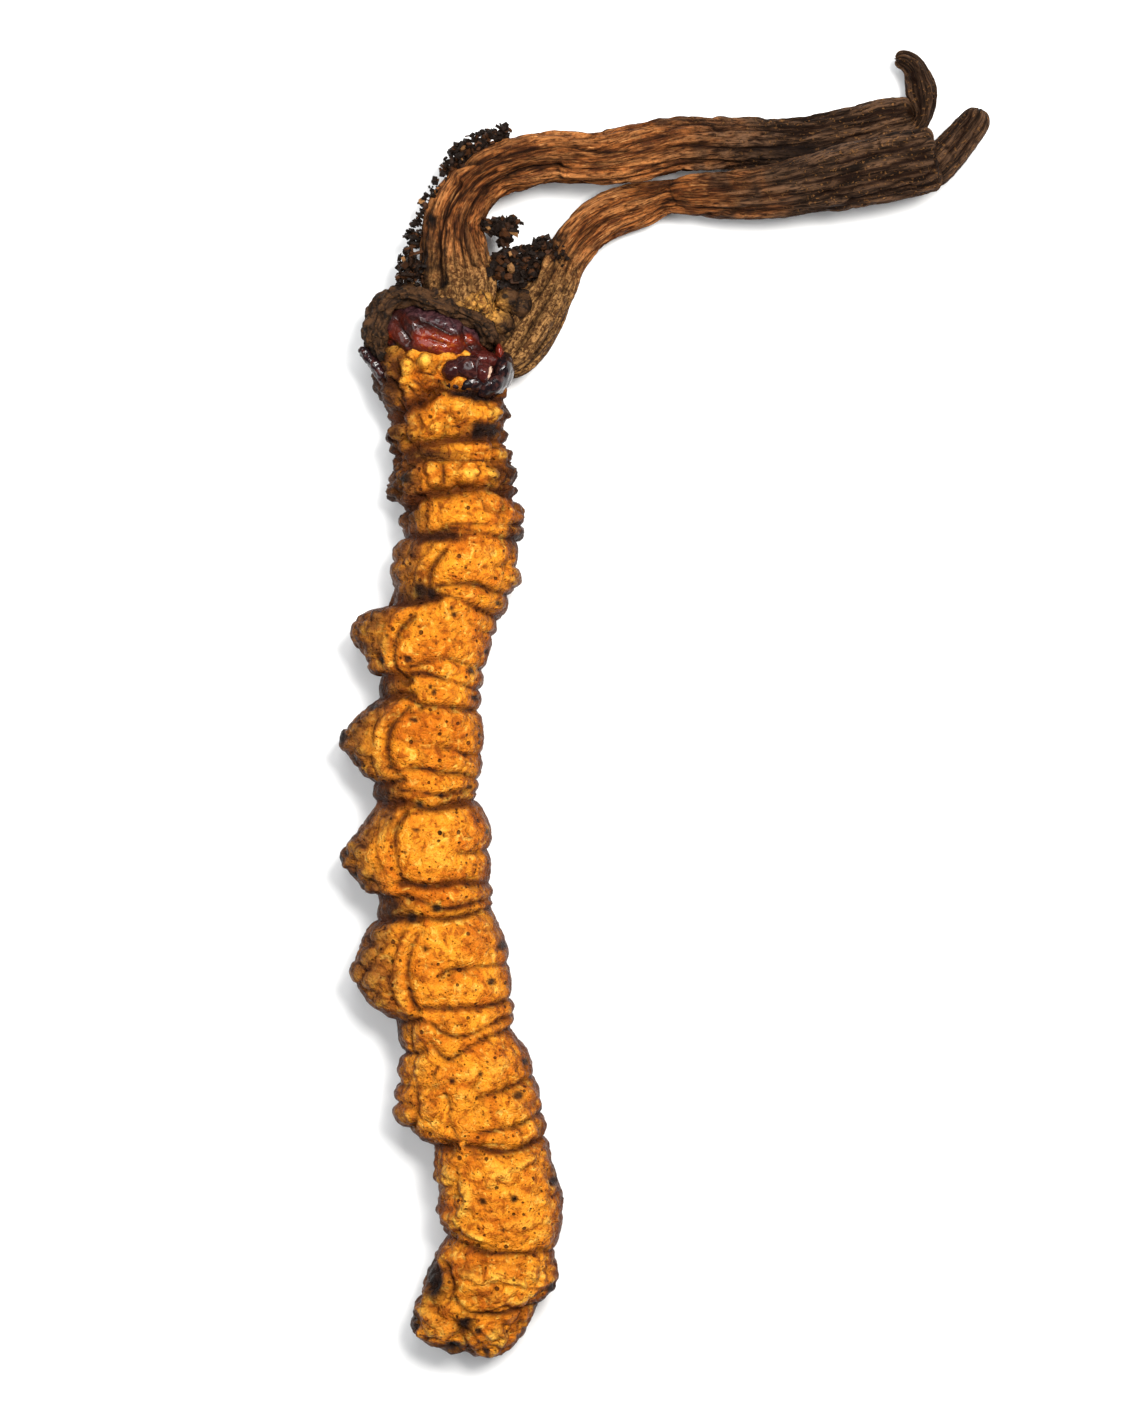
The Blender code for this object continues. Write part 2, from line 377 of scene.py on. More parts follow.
# %% [markdown]
# ## Camera and light
#
# The specimen lies on a white table, and the camera looks straight down on it
# through a long lens, so that its sides don't lean. One large soft light high
# on the right gives form to the folds, a second one from the left lifts their
# shadows, and a pale sky fills the rest.

# %% Camera, lights and table
VIEW_MIDDLE = (-4.72, 0.05, 2.4)
VIEW_LENGTH = 63.1      # the long side of the view at the object, mm
LENS = 100.0
SENSOR = 36.0
SKY_COLOUR = (0.95, 0.97, 1, 1)
SKY_STRENGTH = 0.13     # low, so that the folds keep their shadows
TABLE_HALF = 1.5        # half the table's side, m

camera_data = bpy.data.cameras.new("camera")
camera_data.lens = LENS
camera_data.sensor_width = SENSOR
camera_data.clip_start = 0.01
camera_data.clip_end = 10
camera = bpy.data.objects.new("camera", camera_data)
camera.location = Vector(VIEW_MIDDLE) * MM
camera.location.z += VIEW_LENGTH * MM * LENS / SENSOR
bpy.context.scene.collection.objects.link(camera)
bpy.context.scene.camera = camera

LIGHTS = [  # name, place in mm, size in mm, power in W, colour
    ("key", (34, 36, 140), 45, 0.30, (1, 0.98, 0.95)),
    ("fill", (-60, 0, 150), 80, 0.12, (0.97, 0.99, 1)),
    ("top", (-10, 70, 140), 50, 0.08, (1, 1, 1)),
]
for name, place, size, power, colour in LIGHTS:
    light_data = bpy.data.lights.new(name, "AREA")
    light_data.energy = power
    light_data.size = size * MM
    light_data.color = colour
    light = bpy.data.objects.new(name, light_data)
    light.location = Vector(place) * MM
    light.rotation_euler = (-Vector(place)).to_track_quat("-Z", "Y").to_euler()
    bpy.context.scene.collection.objects.link(light)

world = bpy.data.worlds.new("pale_sky")
world.use_nodes = True
world.node_tree.nodes["Background"].inputs["Color"].default_value = SKY_COLOUR
world.node_tree.nodes["Background"].inputs["Strength"].default_value = SKY_STRENGTH
bpy.context.scene.world = world
bpy.context.scene.view_settings.view_transform = "Standard"

table_mesh = bpy.data.meshes.new("table")
table_bm = bmesh.new()
bmesh.ops.create_grid(table_bm, x_segments=1, y_segments=1, size=TABLE_HALF)
table_bm.to_mesh(table_mesh)
table_bm.free()
table = bpy.data.objects.new("table", table_mesh)
bpy.context.scene.collection.objects.link(table)
table_finish = Finish("white_table", Roughness=0.9, Specular_IOR_Level=0.1)
table_finish.feed(table_finish.shader.inputs["Base Color"], (0.92, 0.92, 0.92))
table_mesh.materials.append(table_finish.material)
table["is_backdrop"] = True
print("camera stands", round(camera.location.z / MM), "mm above the table")

# %% [markdown]
# ## The larva's outline
#
# The larva lies on its side, so from above its back is the right edge and its
# belly, with the false legs, the left edge. Its section is an egg between the
# two edges. The edges are drawn through the tops of the folds only, because
# the creases will cut the notches between them.

# %% Edges of the larva
BACK = [  # (y, x) from head to tail
    (16.3, -9.0), (15.8, -8.3), (15.2, -7.7), (14.5, -7.4), (13.9, -7.15), (12.7, -7.25),
    (10.9, -7.0), (9.5, -6.7), (8.3, -6.4), (6.9, -6.6), (5.0, -6.8), (4.2, -7.15), (3.4, -7.5),
    (2.3, -7.9), (1.2, -8.1), (0.1, -8.25), (-1.6, -8.2), (-3.05, -8.25), (-4.2, -8.3),
    (-6.0, -7.85), (-7.3, -7.85), (-8.7, -7.7), (-9.7, -7.65), (-11.1, -7.1), (-12.4, -6.95),
    (-13.7, -6.75), (-14.8, -6.75), (-16.1, -6.05), (-17.7, -5.65), (-19.2, -5.3), (-20.6, -5.15),
    (-22.0, -4.75), (-23.5, -4.7), (-24.9, -4.9), (-26.0, -4.9), (-27.0, -5.5), (-28.0, -6.25),
    (-28.9, -6.9), (-29.3, -7.6), (-29.42, -8.3),
]
BELLY = [
    (16.3, -11.8), (15.8, -12.5), (15.3, -13.0), (14.7, -13.2), (14.0, -12.95), (12.9, -12.45),
    (11.8, -12.5), (10.4, -12.3), (9.5, -12.35), (8.6, -11.95), (8.0, -11.95), (6.4, -12.3),
    (5.0, -12.45), (4.6, -12.75), (4.25, -13.4), (3.95, -13.85), (3.5, -14.1), (2.7, -14.1),
    (2.3, -13.85), (1.9, -13.6), (1.4, -13.4), (0.9, -13.1), (0.1, -13.3), (-0.4, -13.75),
    (-0.9, -14.25), (-1.4, -14.6), (-2.1, -14.6), (-2.5, -14.3), (-2.9, -14.0), (-3.4, -13.65),
    (-4.2, -13.3), (-4.9, -13.35), (-5.3, -13.6), (-5.8, -13.95), (-6.3, -14.4), (-6.75, -14.6),
    (-7.3, -14.55), (-7.7, -14.25), (-8.1, -13.9), (-8.5, -13.7), (-8.95, -13.1), (-9.6, -13.2),
    (-10.3, -13.6), (-10.9, -13.8), (-11.4, -14.05), (-12.1, -14.2), (-12.7, -14.0),
    (-13.15, -13.7), (-13.6, -13.35), (-14.1, -12.7), (-14.6, -12.25), (-15.7, -11.95),
    (-16.6, -11.95), (-17.5, -12.25), (-18.4, -12.15), (-19.2, -11.6), (-19.95, -10.7),
    (-20.9, -10.45), (-21.8, -10.2), (-22.8, -10.3), (-24.1, -10.1), (-25.3, -10.5),
    (-26.0, -10.85), (-27.0, -11.1), (-27.9, -11.4), (-28.4, -11.3), (-28.8, -10.6), (-29.15, -9.8),
    (-29.42, -8.7),
]
HEIGHTS = [  # (y, half height)
    (16.3, 0.8), (15.8, 1.5), (15.2, 1.95), (14.5, 2.15), (13.5, 2.3), (11, 2.33), (7, 2.4),
    (0, 2.4), (-8, 2.42), (-15, 2.45), (-20, 2.45), (-24, 2.4), (-26.5, 2.2), (-28, 1.7),
    (-29, 1.0), (-29.42, 0.35),
]
AXIS_Z = 2.32           # height of the larva's middle above the table


def edge(points, y):
    """The edge's x (or height) at each y, by a smooth curve through the points."""
    known_y, known = np.array(points)[::-1].T
    slope = np.gradient(known, known_y)
    i = np.clip(np.searchsorted(known_y, y) - 1, 0, len(known_y) - 2)
    h = known_y[i + 1] - known_y[i]
    f = np.clip((y - known_y[i]) / h, 0, 1)
    return ((1 + 2 * f) * (1 - f) ** 2 * known[i] + f * (1 - f) ** 2 * h * slope[i]
            + f * f * (3 - 2 * f) * known[i + 1] + f * f * (f - 1) * h * slope[i + 1])


# %% [markdown]
# ## The larva's folds
#
# Thirteen rings follow the head: three of the thorax and ten of the abdomen.
# On four of them a curved crease parts the back from a long side roll, and
# beyond that roll stand the false legs. Behind each lie two or three narrow
# rings on the back. Each line below is one crease: how wide its shoulders are,
# how deep it is, and where it runs.

# %% Creases of the thorax
THORAX = [
    (0.35, 0.26, [(-12.2, 15.4), (-11.9, 14.7), (-12.1, 14.1), (-11.7, 13.3)]),
    (0.35, 0.26, [(-11.2, 15.5), (-11.1, 14.9), (-10.6, 14.6), (-10.3, 14.8), (-10.2, 15.4)]),
    (0.30, 0.22, [(-11.4, 14.5), (-11.0, 14.15), (-10.3, 14.35), (-9.8, 14.1)]),
    (0.30, 0.20, [(-10.7, 14.7), (-10.95, 14.2), (-10.85, 13.6)]),
    (0.30, 0.20, [(-12.9, 14.9), (-12.3, 14.8), (-11.8, 15.0)]),
    (0.28, 0.20, [(-11.9, 15.5), (-11.4, 15.2), (-11.1, 15.3), (-10.7, 15.1)]),
    (0.28, 0.20, [(-10.2, 14.8), (-9.9, 14.4), (-9.9, 14.0)]),
    (0.28, 0.18, [(-11.6, 14.2), (-11.2, 13.7), (-10.7, 13.7)]),
    (0.60, 0.45, [(-13.3, 12.7), (-12.05, 12.8), (-11.4, 13.25), (-10.65, 13.6), (-10.15, 13.95),
                  (-9.0, 13.8), (-6.6, 13.5)]),
    (0.35, 0.22, [(-11.1, 12.9), (-11.0, 12.1), (-11.2, 11.3)]),
    (0.35, 0.20, [(-9.85, 13.3), (-9.75, 12.5), (-9.9, 11.7)]),
    (0.35, 0.20, [(-9.9, 12.25), (-8.6, 12.35), (-6.7, 12.2)]),
    (0.60, 0.42, [(-13.0, 11.0), (-11.9, 11.05), (-11.05, 11.4), (-10.15, 11.55), (-9.3, 11.7),
                  (-6.4, 11.7)]),
    (0.40, 0.25, [(-12.9, 10.7), (-10.6, 10.8), (-8.8, 10.75), (-6.4, 10.85)]),
    (0.40, 0.25, [(-10.0, 10.8), (-9.95, 10.1), (-9.95, 9.5)]),
    (0.35, 0.20, [(-11.0, 10.7), (-11.1, 9.9), (-10.9, 9.2)]),
    (0.30, 0.18, [(-8.2, 10.8), (-8.25, 10.3), (-8.2, 9.9)]),
    (0.30, 0.22, [(-8.3, 9.95), (-7.4, 9.8), (-6.2, 9.85)]),
    (0.60, 0.45, [(-12.8, 8.5), (-11.75, 8.6), (-10.9, 9.1), (-9.9, 9.3), (-9.25, 9.45),
                  (-7.85, 9.5), (-6.0, 9.1)]),
]

# %% Creases of the front of the abdomen
RING_1 = [
    (0.35, 0.22, [(-10.15, 7.85), (-9.15, 7.95), (-8.1, 7.9), (-6.0, 7.9)]),
    (0.35, 0.28, [(-10.15, 7.55), (-9.35, 7.75), (-8.1, 7.5), (-5.9, 7.05)]),
    (0.60, 0.42, [(-12.8, 7.3), (-11.95, 7.4), (-10.9, 7.4), (-9.9, 7.45), (-9.2, 7.35)]),
    (0.35, 0.20, [(-10.7, 9.0), (-10.75, 8.3), (-10.75, 7.5)]),
    (0.35, 0.20, [(-10.1, 8.95), (-10.15, 7.8)]),
    (0.30, 0.15, [(-11.3, 8.6), (-11.35, 7.6)]),
]
RING_2 = [
    (0.55, 0.30, [(-9.7, 6.9), (-10.15, 6.4), (-10.5, 5.9), (-10.6, 5.25), (-10.7, 4.6)]),
    (0.50, 0.18, [(-10.3, 7.2), (-11.0, 6.4), (-11.4, 5.5), (-11.5, 4.8)]),
    (0.40, 0.30, [(-10.5, 5.1), (-9.6, 5.2), (-8.6, 5.25), (-7.55, 4.85), (-6.2, 4.45)]),
    (0.40, 0.30, [(-10.4, 4.7), (-9.5, 4.65), (-8.6, 4.2), (-7.55, 3.7), (-6.7, 3.5)]),
    (0.35, 0.20, [(-7.8, 5.95), (-7.0, 6.15), (-6.0, 6.3)]),
    (0.65, 0.45, [(-13.9, 4.85), (-12.3, 4.6), (-11.4, 4.5), (-10.6, 4.6), (-9.9, 4.55)]),
    (0.35, 0.20, [(-8.9, 3.65), (-8.1, 3.1), (-7.0, 2.9)]),
]
RING_3 = [
    (0.55, 0.32, [(-11.1, 3.95), (-11.8, 3.4), (-12.1, 2.8), (-12.15, 2.15), (-12.1, 1.6),
                  (-11.8, 1.1), (-11.5, 0.6)]),
    (0.60, 0.15, [(-12.0, 4.2), (-12.7, 3.3), (-12.95, 2.4), (-12.85, 1.5)]),
    (0.40, 0.28, [(-11.8, 1.5), (-11.2, 1.65), (-10.5, 1.85), (-9.9, 1.95), (-8.9, 1.7),
                  (-8.4, 1.45), (-7.4, 1.5)]),
    (0.40, 0.30, [(-11.6, 1.2), (-10.9, 1.3), (-10.2, 1.1), (-9.15, 0.8), (-8.5, 0.62), (-7.4, 0.5)]),
    (0.40, 0.30, [(-11.9, 0.3), (-11.4, 0.1), (-10.85, -0.1), (-9.75, -0.2), (-8.7, -0.32), (-7.5, -0.4)]),
    (0.50, 0.38, [(-14.2, 1.0), (-13.0, 1.1), (-11.9, 1.05), (-11.2, 0.9)]),
    (0.50, 0.38, [(-14.2, 0.4), (-12.5, 0.25), (-11.5, 0.35), (-11.0, 0.1)]),
]
RING_4 = [
    (0.55, 0.32, [(-11.3, -0.1), (-12.1, -0.85), (-12.45, -1.55), (-12.4, -2.4), (-12.2, -2.95),
                  (-11.8, -3.4)]),
    (0.60, 0.15, [(-12.9, -0.2), (-13.1, -1.05), (-13.25, -2.0), (-13.35, -2.8)]),
    (0.35, 0.20, [(-10.4, -2.0), (-9.5, -2.05), (-8.8, -2.35), (-7.4, -2.4)]),
    (0.35, 0.28, [(-12.2, -3.2), (-11.8, -3.05), (-10.75, -2.95), (-9.95, -3.1), (-8.9, -3.25),
                  (-8.3, -3.5), (-7.5, -3.5)]),
    (0.35, 0.28, [(-12.1, -3.9), (-11.5, -4.0), (-10.9, -4.05), (-9.95, -4.15), (-8.9, -4.0), (-7.5, -4.1)]),
    (0.55, 0.40, [(-12.2, -4.4), (-11.5, -4.5), (-10.65, -4.75), (-9.9, -4.65), (-8.65, -4.4), (-7.4, -4.4)]),
    (0.50, 0.38, [(-14.4, -3.7), (-13.1, -3.75), (-12.3, -3.65), (-11.5, -3.4)]),
    (0.50, 0.38, [(-14.4, -4.45), (-12.6, -4.5), (-11.6, -4.45)]),
]

# %% Creases of the rear of the abdomen
RING_5 = [
    (0.50, 0.30, [(-11.5, -4.7), (-12.0, -5.5), (-12.1, -6.15), (-12.0, -6.95), (-11.8, -7.75),
                  (-11.5, -8.2)]),
    (0.60, 0.14, [(-12.85, -5.3), (-12.95, -6.5), (-12.7, -7.8)]),
    (0.35, 0.22, [(-9.4, -6.72), (-8.2, -6.72), (-7.0, -6.7)]),
    (0.22, 0.10, [(-9.4, -6.6), (-9.42, -7.5)]),
    (0.50, 0.38, [(-12.1, -8.1), (-11.6, -8.1), (-10.7, -8.2), (-9.65, -8.05), (-8.65, -8.05),
                  (-7.0, -8.05)]),
    (0.45, 0.32, [(-11.8, -8.75), (-10.9, -8.9), (-9.9, -9.2), (-8.75, -9.0), (-7.9, -8.8), (-7.0, -8.75)]),
    (0.40, 0.32, [(-11.5, -9.65), (-10.9, -9.6), (-9.45, -9.65), (-8.0, -9.3), (-6.9, -9.2)]),
    (0.50, 0.35, [(-14.1, -8.9), (-13.0, -8.85), (-12.2, -8.8), (-11.4, -8.6)]),
    (0.50, 0.38, [(-13.9, -9.75), (-12.1, -9.6), (-11.2, -9.75), (-10.7, -9.65)]),
]
RING_6 = [
    (0.50, 0.28, [(-10.85, -10.0), (-11.4, -11.0), (-11.55, -12.1), (-11.45, -12.8),
                  (-11.2, -13.5), (-10.9, -14.0)]),
    (0.50, 0.18, [(-11.7, -10.1), (-12.1, -11.0), (-12.35, -12.0), (-12.3, -12.8), (-12.0, -13.7)]),
    (0.40, 0.22, [(-10.1, -12.4), (-9.8, -11.95), (-8.9, -11.85), (-7.35, -11.7), (-6.3, -11.7)]),
    (0.45, 0.30, [(-11.0, -13.55), (-9.7, -13.65), (-8.9, -13.6), (-7.8, -13.5), (-6.2, -13.1)]),
    (0.40, 0.26, [(-10.6, -14.2), (-9.8, -14.75), (-8.9, -14.8), (-7.8, -14.35), (-6.2, -13.85)]),
    (0.45, 0.28, [(-10.6, -15.0), (-9.8, -15.85), (-8.9, -15.4), (-7.8, -14.85), (-6.2, -14.5)]),
    (0.50, 0.35, [(-13.5, -14.2), (-12.2, -14.45), (-11.4, -14.35), (-10.8, -14.0)]),
    (0.30, 0.20, [(-11.5, -14.4), (-11.45, -15.7)]),
    (0.40, 0.30, [(-12.6, -15.8), (-11.3, -15.65), (-10.5, -15.4)]),
]
RING_7 = [
    (0.35, 0.20, [(-10.1, -16.0), (-10.4, -16.5), (-10.4, -17.0)]),
    (0.40, 0.25, [(-12.7, -17.0), (-11.1, -17.15), (-10.1, -17.05)]),
    (0.40, 0.22, [(-10.0, -17.2), (-9.6, -17.9), (-9.65, -18.5), (-9.25, -19.7)]),
    (0.35, 0.20, [(-12.9, -18.0), (-12.0, -18.1), (-11.3, -18.1)]),
    (0.35, 0.20, [(-11.3, -17.2), (-11.2, -18.1), (-11.4, -19.3)]),
    (0.30, 0.15, [(-8.5, -17.7), (-8.5, -19.0)]),
    (0.45, 0.28, [(-8.6, -17.65), (-8.0, -17.45), (-7.0, -17.2), (-6.1, -16.85), (-5.2, -16.55)]),
    (0.40, 0.28, [(-8.5, -19.25), (-7.4, -19.0), (-6.5, -18.85), (-5.8, -18.5), (-4.9, -18.3)]),
    (0.50, 0.35, [(-9.2, -19.7), (-8.4, -19.85), (-7.2, -20.0), (-6.2, -19.8), (-4.7, -19.2)]),
    (0.55, 0.42, [(-11.9, -19.9), (-10.5, -20.0), (-9.2, -19.7)]),
]
TAIL = [
    (0.50, 0.35, [(-10.8, -23.85), (-9.7, -24.0), (-9.0, -24.2), (-8.1, -24.45), (-7.1, -24.55),
                  (-4.2, -24.6)]),
    (0.35, 0.28, [(-10.0, -24.9), (-9.7, -25.5), (-9.6, -26.2), (-9.85, -27.0)]),
    (0.45, 0.32, [(-9.6, -26.35), (-9.1, -27.0), (-8.6, -27.3), (-7.8, -27.3), (-6.4, -27.2),
                  (-5.0, -26.9)]),
    (0.30, 0.15, [(-8.35, -26.55), (-7.6, -26.9)]),
    (0.40, 0.28, [(-9.8, -27.2), (-9.2, -28.0), (-8.9, -28.9), (-8.9, -29.6)]),
    (0.35, 0.22, [(-11.9, -26.3), (-10.6, -26.95), (-9.8, -26.95)]),
    (0.35, 0.12, [(-9.3, -25.2), (-7.5, -25.0), (-4.6, -25.6)]),
    (0.30, 0.10, [(-9.0, -25.9), (-7.4, -25.9), (-5.4, -26.3)]),
]
CREASES = THORAX + RING_1 + RING_2 + RING_3 + RING_4 + RING_5 + RING_6 + RING_7 + TAIL
print(len(CREASES), "creases from the neck to the tail")

# %% Rolls and knobs
ROLLS = [  # raised rolls: the side rolls, and thin wrinkles on the last big ring
    (0.45, 0.14, [(-10.6, 6.6), (-11.0, 5.9), (-11.05, 5.0)]),
    (0.45, 0.16, [(-11.5, 4.1), (-12.3, 3.3), (-12.5, 2.4), (-12.35, 1.5)]),
    (0.45, 0.16, [(-11.7, -0.1), (-12.6, -0.9), (-12.85, -1.8), (-12.8, -2.7), (-12.3, -3.4)]),
    (0.45, 0.16, [(-12.0, -4.9), (-12.5, -6.0), (-12.45, -7.0), (-12.0, -8.1)]),
    (0.40, 0.16, [(-11.2, -10.1), (-11.8, -11.0), (-12.0, -12.1), (-11.8, -13.2), (-11.3, -14.0)]),
    (0.24, 0.22, [(-9.1, -21.5), (-8.85, -22.2), (-9.25, -22.9), (-9.0, -23.5), (-8.05, -23.95)]),
    (0.26, 0.16, [(-8.05, -21.45), (-7.1, -20.9), (-5.8, -20.2)]),
    (0.30, 0.16, [(-8.9, -25.2), (-8.2, -25.7), (-7.2, -25.6), (-6.2, -26.1)]),
    (0.26, 0.14, [(-7.9, -27.6), (-7.4, -28.2), (-7.6, -28.9)]),
    (0.26, 0.14, [(-10.6, -26.5), (-10.9, -27.2), (-10.5, -27.8)]),
]
KNOBS = [  # (x, y, radius, height): beads of skin on the thorax, and tips of the false legs
    (-12.1, 12.05, 0.50, 0.20), (-11.5, 11.9, 0.34, 0.14), (-10.1, 12.2, 0.50, 0.13),
    (-9.2, 12.9, 0.45, 0.12), (-11.5, 10.0, 0.45, 0.26), (-10.5, 10.45, 0.42, 0.18),
    (-10.35, 9.75, 0.36, 0.14), (-8.9, 10.15, 0.62, 0.16), (-12.2, 9.6, 0.36, 0.18),
    (-7.7, 10.2, 0.34, 0.16), (-7.1, 10.3, 0.30, 0.16), (-7.0, 9.5, 0.28, 0.14),
    (-7.4, 11.2, 0.32, 0.16), (-6.9, 11.3, 0.26, 0.14), (-7.7, 12.85, 0.34, 0.16),
    (-7.2, 12.9, 0.26, 0.14), (-12.0, 8.2, 0.34, 0.16), (-11.4, 8.35, 0.30, 0.12),
    (-12.1, 6.9, 0.50, 0.16), (-12.2, 5.8, 0.45, 0.14), (-13.95, 3.1, 0.50, 0.12),
    (-14.5, -1.7, 0.50, 0.12), (-14.5, -7.0, 0.50, 0.12), (-14.0, -12.1, 0.50, 0.12),
    (-12.3, 14.6, 0.40, 0.16), (-11.6, 14.9, 0.40, 0.20), (-10.8, 15.1, 0.36, 0.20),
    (-10.0, 14.9, 0.34, 0.18), (-11.2, 14.2, 0.30, 0.14), (-10.3, 14.1, 0.36, 0.16),
    (-6.55, 7.6, 0.30, 0.12), (-6.7, 5.6, 0.45, 0.14), (-11.9, -16.3, 0.55, 0.14),
    (-11.9, -18.6, 0.60, 0.18), (-10.9, -16.2, 0.50, 0.12), (-10.6, -18.2, 0.50, 0.12),
    (-9.9, -21.2, 0.50, 0.14), (-9.7, -23.2, 0.50, 0.14), (-7.7, -26.3, 0.35, 0.12),
    (-6.5, -26.7, 0.30, 0.12), (-13.4, 3.3, 0.38, 0.15), (-13.2, 2.3, 0.36, 0.15),
    (-12.9, 3.9, 0.32, 0.13), (-13.1, 1.5, 0.34, 0.14), (-13.9, -1.3, 0.40, 0.15),
    (-13.6, -2.3, 0.40, 0.15), (-13.4, -0.7, 0.35, 0.14), (-13.4, -3.1, 0.36, 0.15),
    (-13.9, -6.6, 0.42, 0.16), (-13.5, -7.6, 0.38, 0.15), (-13.5, -5.9, 0.34, 0.13),
    (-13.2, -8.4, 0.34, 0.14), (-13.4, -11.3, 0.42, 0.15), (-13.2, -12.4, 0.40, 0.15),
    (-12.9, -10.4, 0.36, 0.13), (-12.7, -13.3, 0.36, 0.14), (-10.9, -27.2, 0.50, 0.16),
    (-7.6, -28.3, 0.55, 0.12), (-8.9, -25.3, 0.40, 0.12), (-6.0, -25.4, 0.40, 0.10),
]
print(len(ROLLS), "rolls and", len(KNOBS), "knobs")

# %% [markdown]
# ## Spots, stains and painted shade
#
# Breathing holes, scars and pits hold dirt. The hollows of the belly and the
# crevices between the rings get broad brown patches, partly real stains and
# partly painted shade. Each is a dab, a place and a size, turned into a
# soft-edged field on the mesh, because a few numbers are easy to move about.

# %% Dark spots and pits
SPOTS = [  # (x, y, radius): breathing holes, scars and dirt in pits
    (-8.3, 12.1, 0.45), (-7.8, 12.15, 0.4), (-11.55, 9.95, 0.3), (-11.0, 5.0, 0.4),
    (-10.5, 4.85, 0.3), (-11.05, 3.4, 0.1), (-12.45, 2.95, 0.1), (-12.75, 1.85, 0.2),
    (-11.55, 1.9, 0.22), (-9.6, 4.15, 0.14), (-9.45, 3.9, 0.16), (-8.7, 1.35, 0.2),
    (-8.5, 0.2, 0.18), (-7.5, 4.35, 0.14), (-10.5, 0.65, 0.1), (-10.35, 0.45, 0.12),
    (-8.1, 2.25, 0.13), (-11.45, -0.75, 0.1), (-11.2, -0.85, 0.12), (-10.85, -0.25, 0.12),
    (-8.9, -2.35, 0.13), (-12.35, -2.9, 0.13), (-13.65, -3.2, 0.16), (-13.9, -2.5, 0.2),
    (-8.7, -3.8, 0.14), (-11.0, -4.55, 0.2), (-9.95, -4.15, 0.14), (-8.35, -1.5, 0.12),
    (-14.5, -1.6, 0.3), (-13.2, -0.15, 0.25), (-11.2, -5.65, 0.13), (-10.1, -5.8, 0.1),
    (-9.95, -5.9, 0.1), (-8.05, -5.85, 0.13), (-11.65, -6.65, 0.08), (-13.85, -7.75, 0.17),
    (-13.3, -8.0, 0.13), (-14.25, -6.75, 0.16), (-14.55, -7.05, 0.28), (-8.5, -7.25, 0.1),
    (-10.75, -8.15, 0.14), (-8.65, -8.1, 0.1), (-12.3, -9.7, 0.13), (-11.4, -9.6, 0.3),
    (-10.25, -9.15, 0.25), (-10.7, -11.0, 0.18), (-7.35, -10.9, 0.25), (-7.8, -12.45, 0.22),
    (-9.65, -13.6, 0.13), (-9.6, -16.8, 0.17), (-8.3, -16.5, 0.14), (-6.3, -16.1, 0.18),
    (-6.65, -17.55, 0.25), (-6.8, -22.05, 0.2), (-5.05, -21.45, 0.2), (-7.3, -23.45, 0.12),
    (-8.2, -22.15, 0.2), (-5.2, -26.3, 0.15), (-5.75, -27.25, 0.12), (-11.3, -28.0, 0.25),
    (-8.4, -28.1, 0.2), (-9.3, -29.35, 0.25), (-8.1, -29.1, 0.2), (-10.4, -25.9, 0.42, 0.9),
    (-11.35, -27.4, 0.30, 0.45), (-9.0, -27.7, 0.35, 0.3), (-9.5, -28.8, 0.4, 0.22),
    (-5.1, -26.3, 0.3, 0.35), (-8.9, 13.75, 0.9, 0.18), (-8.0, 13.6, 0.7, 0.2),
]

# %% Broad brown stains and painted shade
# Partly real stains, partly painted shade in the crevices between rings and on the belly.
STAINS = [  # (x, y, half width, half height)
    (-12.9, 14.2, 1.2, 1.5), (-8.6, 13.75, 1.6, 0.45), (-7.9, 12.1, 1.6, 0.5),
    (-7.0, 10.2, 0.9, 1.5), (-12.6, 11.6, 0.9, 1.4), (-12.5, 9.7, 0.8, 1.2), (-11.7, 8.4, 1.0, 0.5),
    (-7.0, 13.0, 1.0, 1.0), (-11.2, 4.8, 1.4, 0.6), (-12.9, 0.6, 0.9, 0.7), (-12.7, -4.1, 1.1, 0.6),
    (-12.2, -9.3, 1.3, 0.7), (-12.4, -14.9, 0.8, 0.9), (-11.6, -19.6, 0.9, 0.4),
    (-4.8, -21.0, 0.4, 1.2), (-10.35, -26.0, 0.6, 1.1), (-11.5, -27.4, 0.5, 0.7),
    (-9.0, -27.9, 0.6, 0.7), (-9.6, -28.9, 0.9, 0.4), (-5.4, -26.9, 0.5, 0.4),
    (-10.2, 7.4, 2.0, 0.4), (-10.7, 11.0, 2.2, 0.4), (-6.6, 7.4, 0.7, 0.9),
]

# %% [markdown]
# ## The larva's skin
#
# Dried larva skin is waxy: amber, with a painted gold highlight where it is
# stretched over a fold, rust where it is thin, and brown along the belly, partly
# its own colour and partly painted shade. Steep skin, skin turned away from the
# light above and the hollows of the folds get painted shade. The bottom of a crease
# is almost black, partly soil that stays there and partly painted shade. The mesh
# carries all of this as painted fields, because it follows the folds, and the
# shader turns them into colour, with fine grain and specks on top.

# %% Skin finish
skin = Finish("dried_larva_skin", Subsurface_Weight=0.06, Subsurface_Radius=(1.0, 0.45, 0.15),
              Subsurface_Scale=0.0004, Specular_IOR_Level=0.07)
fold, low, belly, rim, spot = (skin.field(name) for name in ("fold", "low", "belly", "rim", "spot"))
stain, steep, crest = (skin.field(name) for name in ("stain", "steep", "crest"))
patch = skin.grain(1.3, 4, 0.6)
mottle = skin.grain(0.42, 5, 0.6, roughness=0.58)
fine = skin.grain(0.11, 3, 0.3)


def specks(size, share, rim_at):
    """Small dark specks: cells of which only some have one, each of its own size."""
    pick = skin.add("ShaderNodeSeparateColor", {0: skin.cells(size, "Color")}).outputs[0]
    reach = skin.sum("SUBTRACT", skin.times(pick, share), skin.cells(size))
    return skin.sharpen(reach, rim_at, rim_at + 0.10)


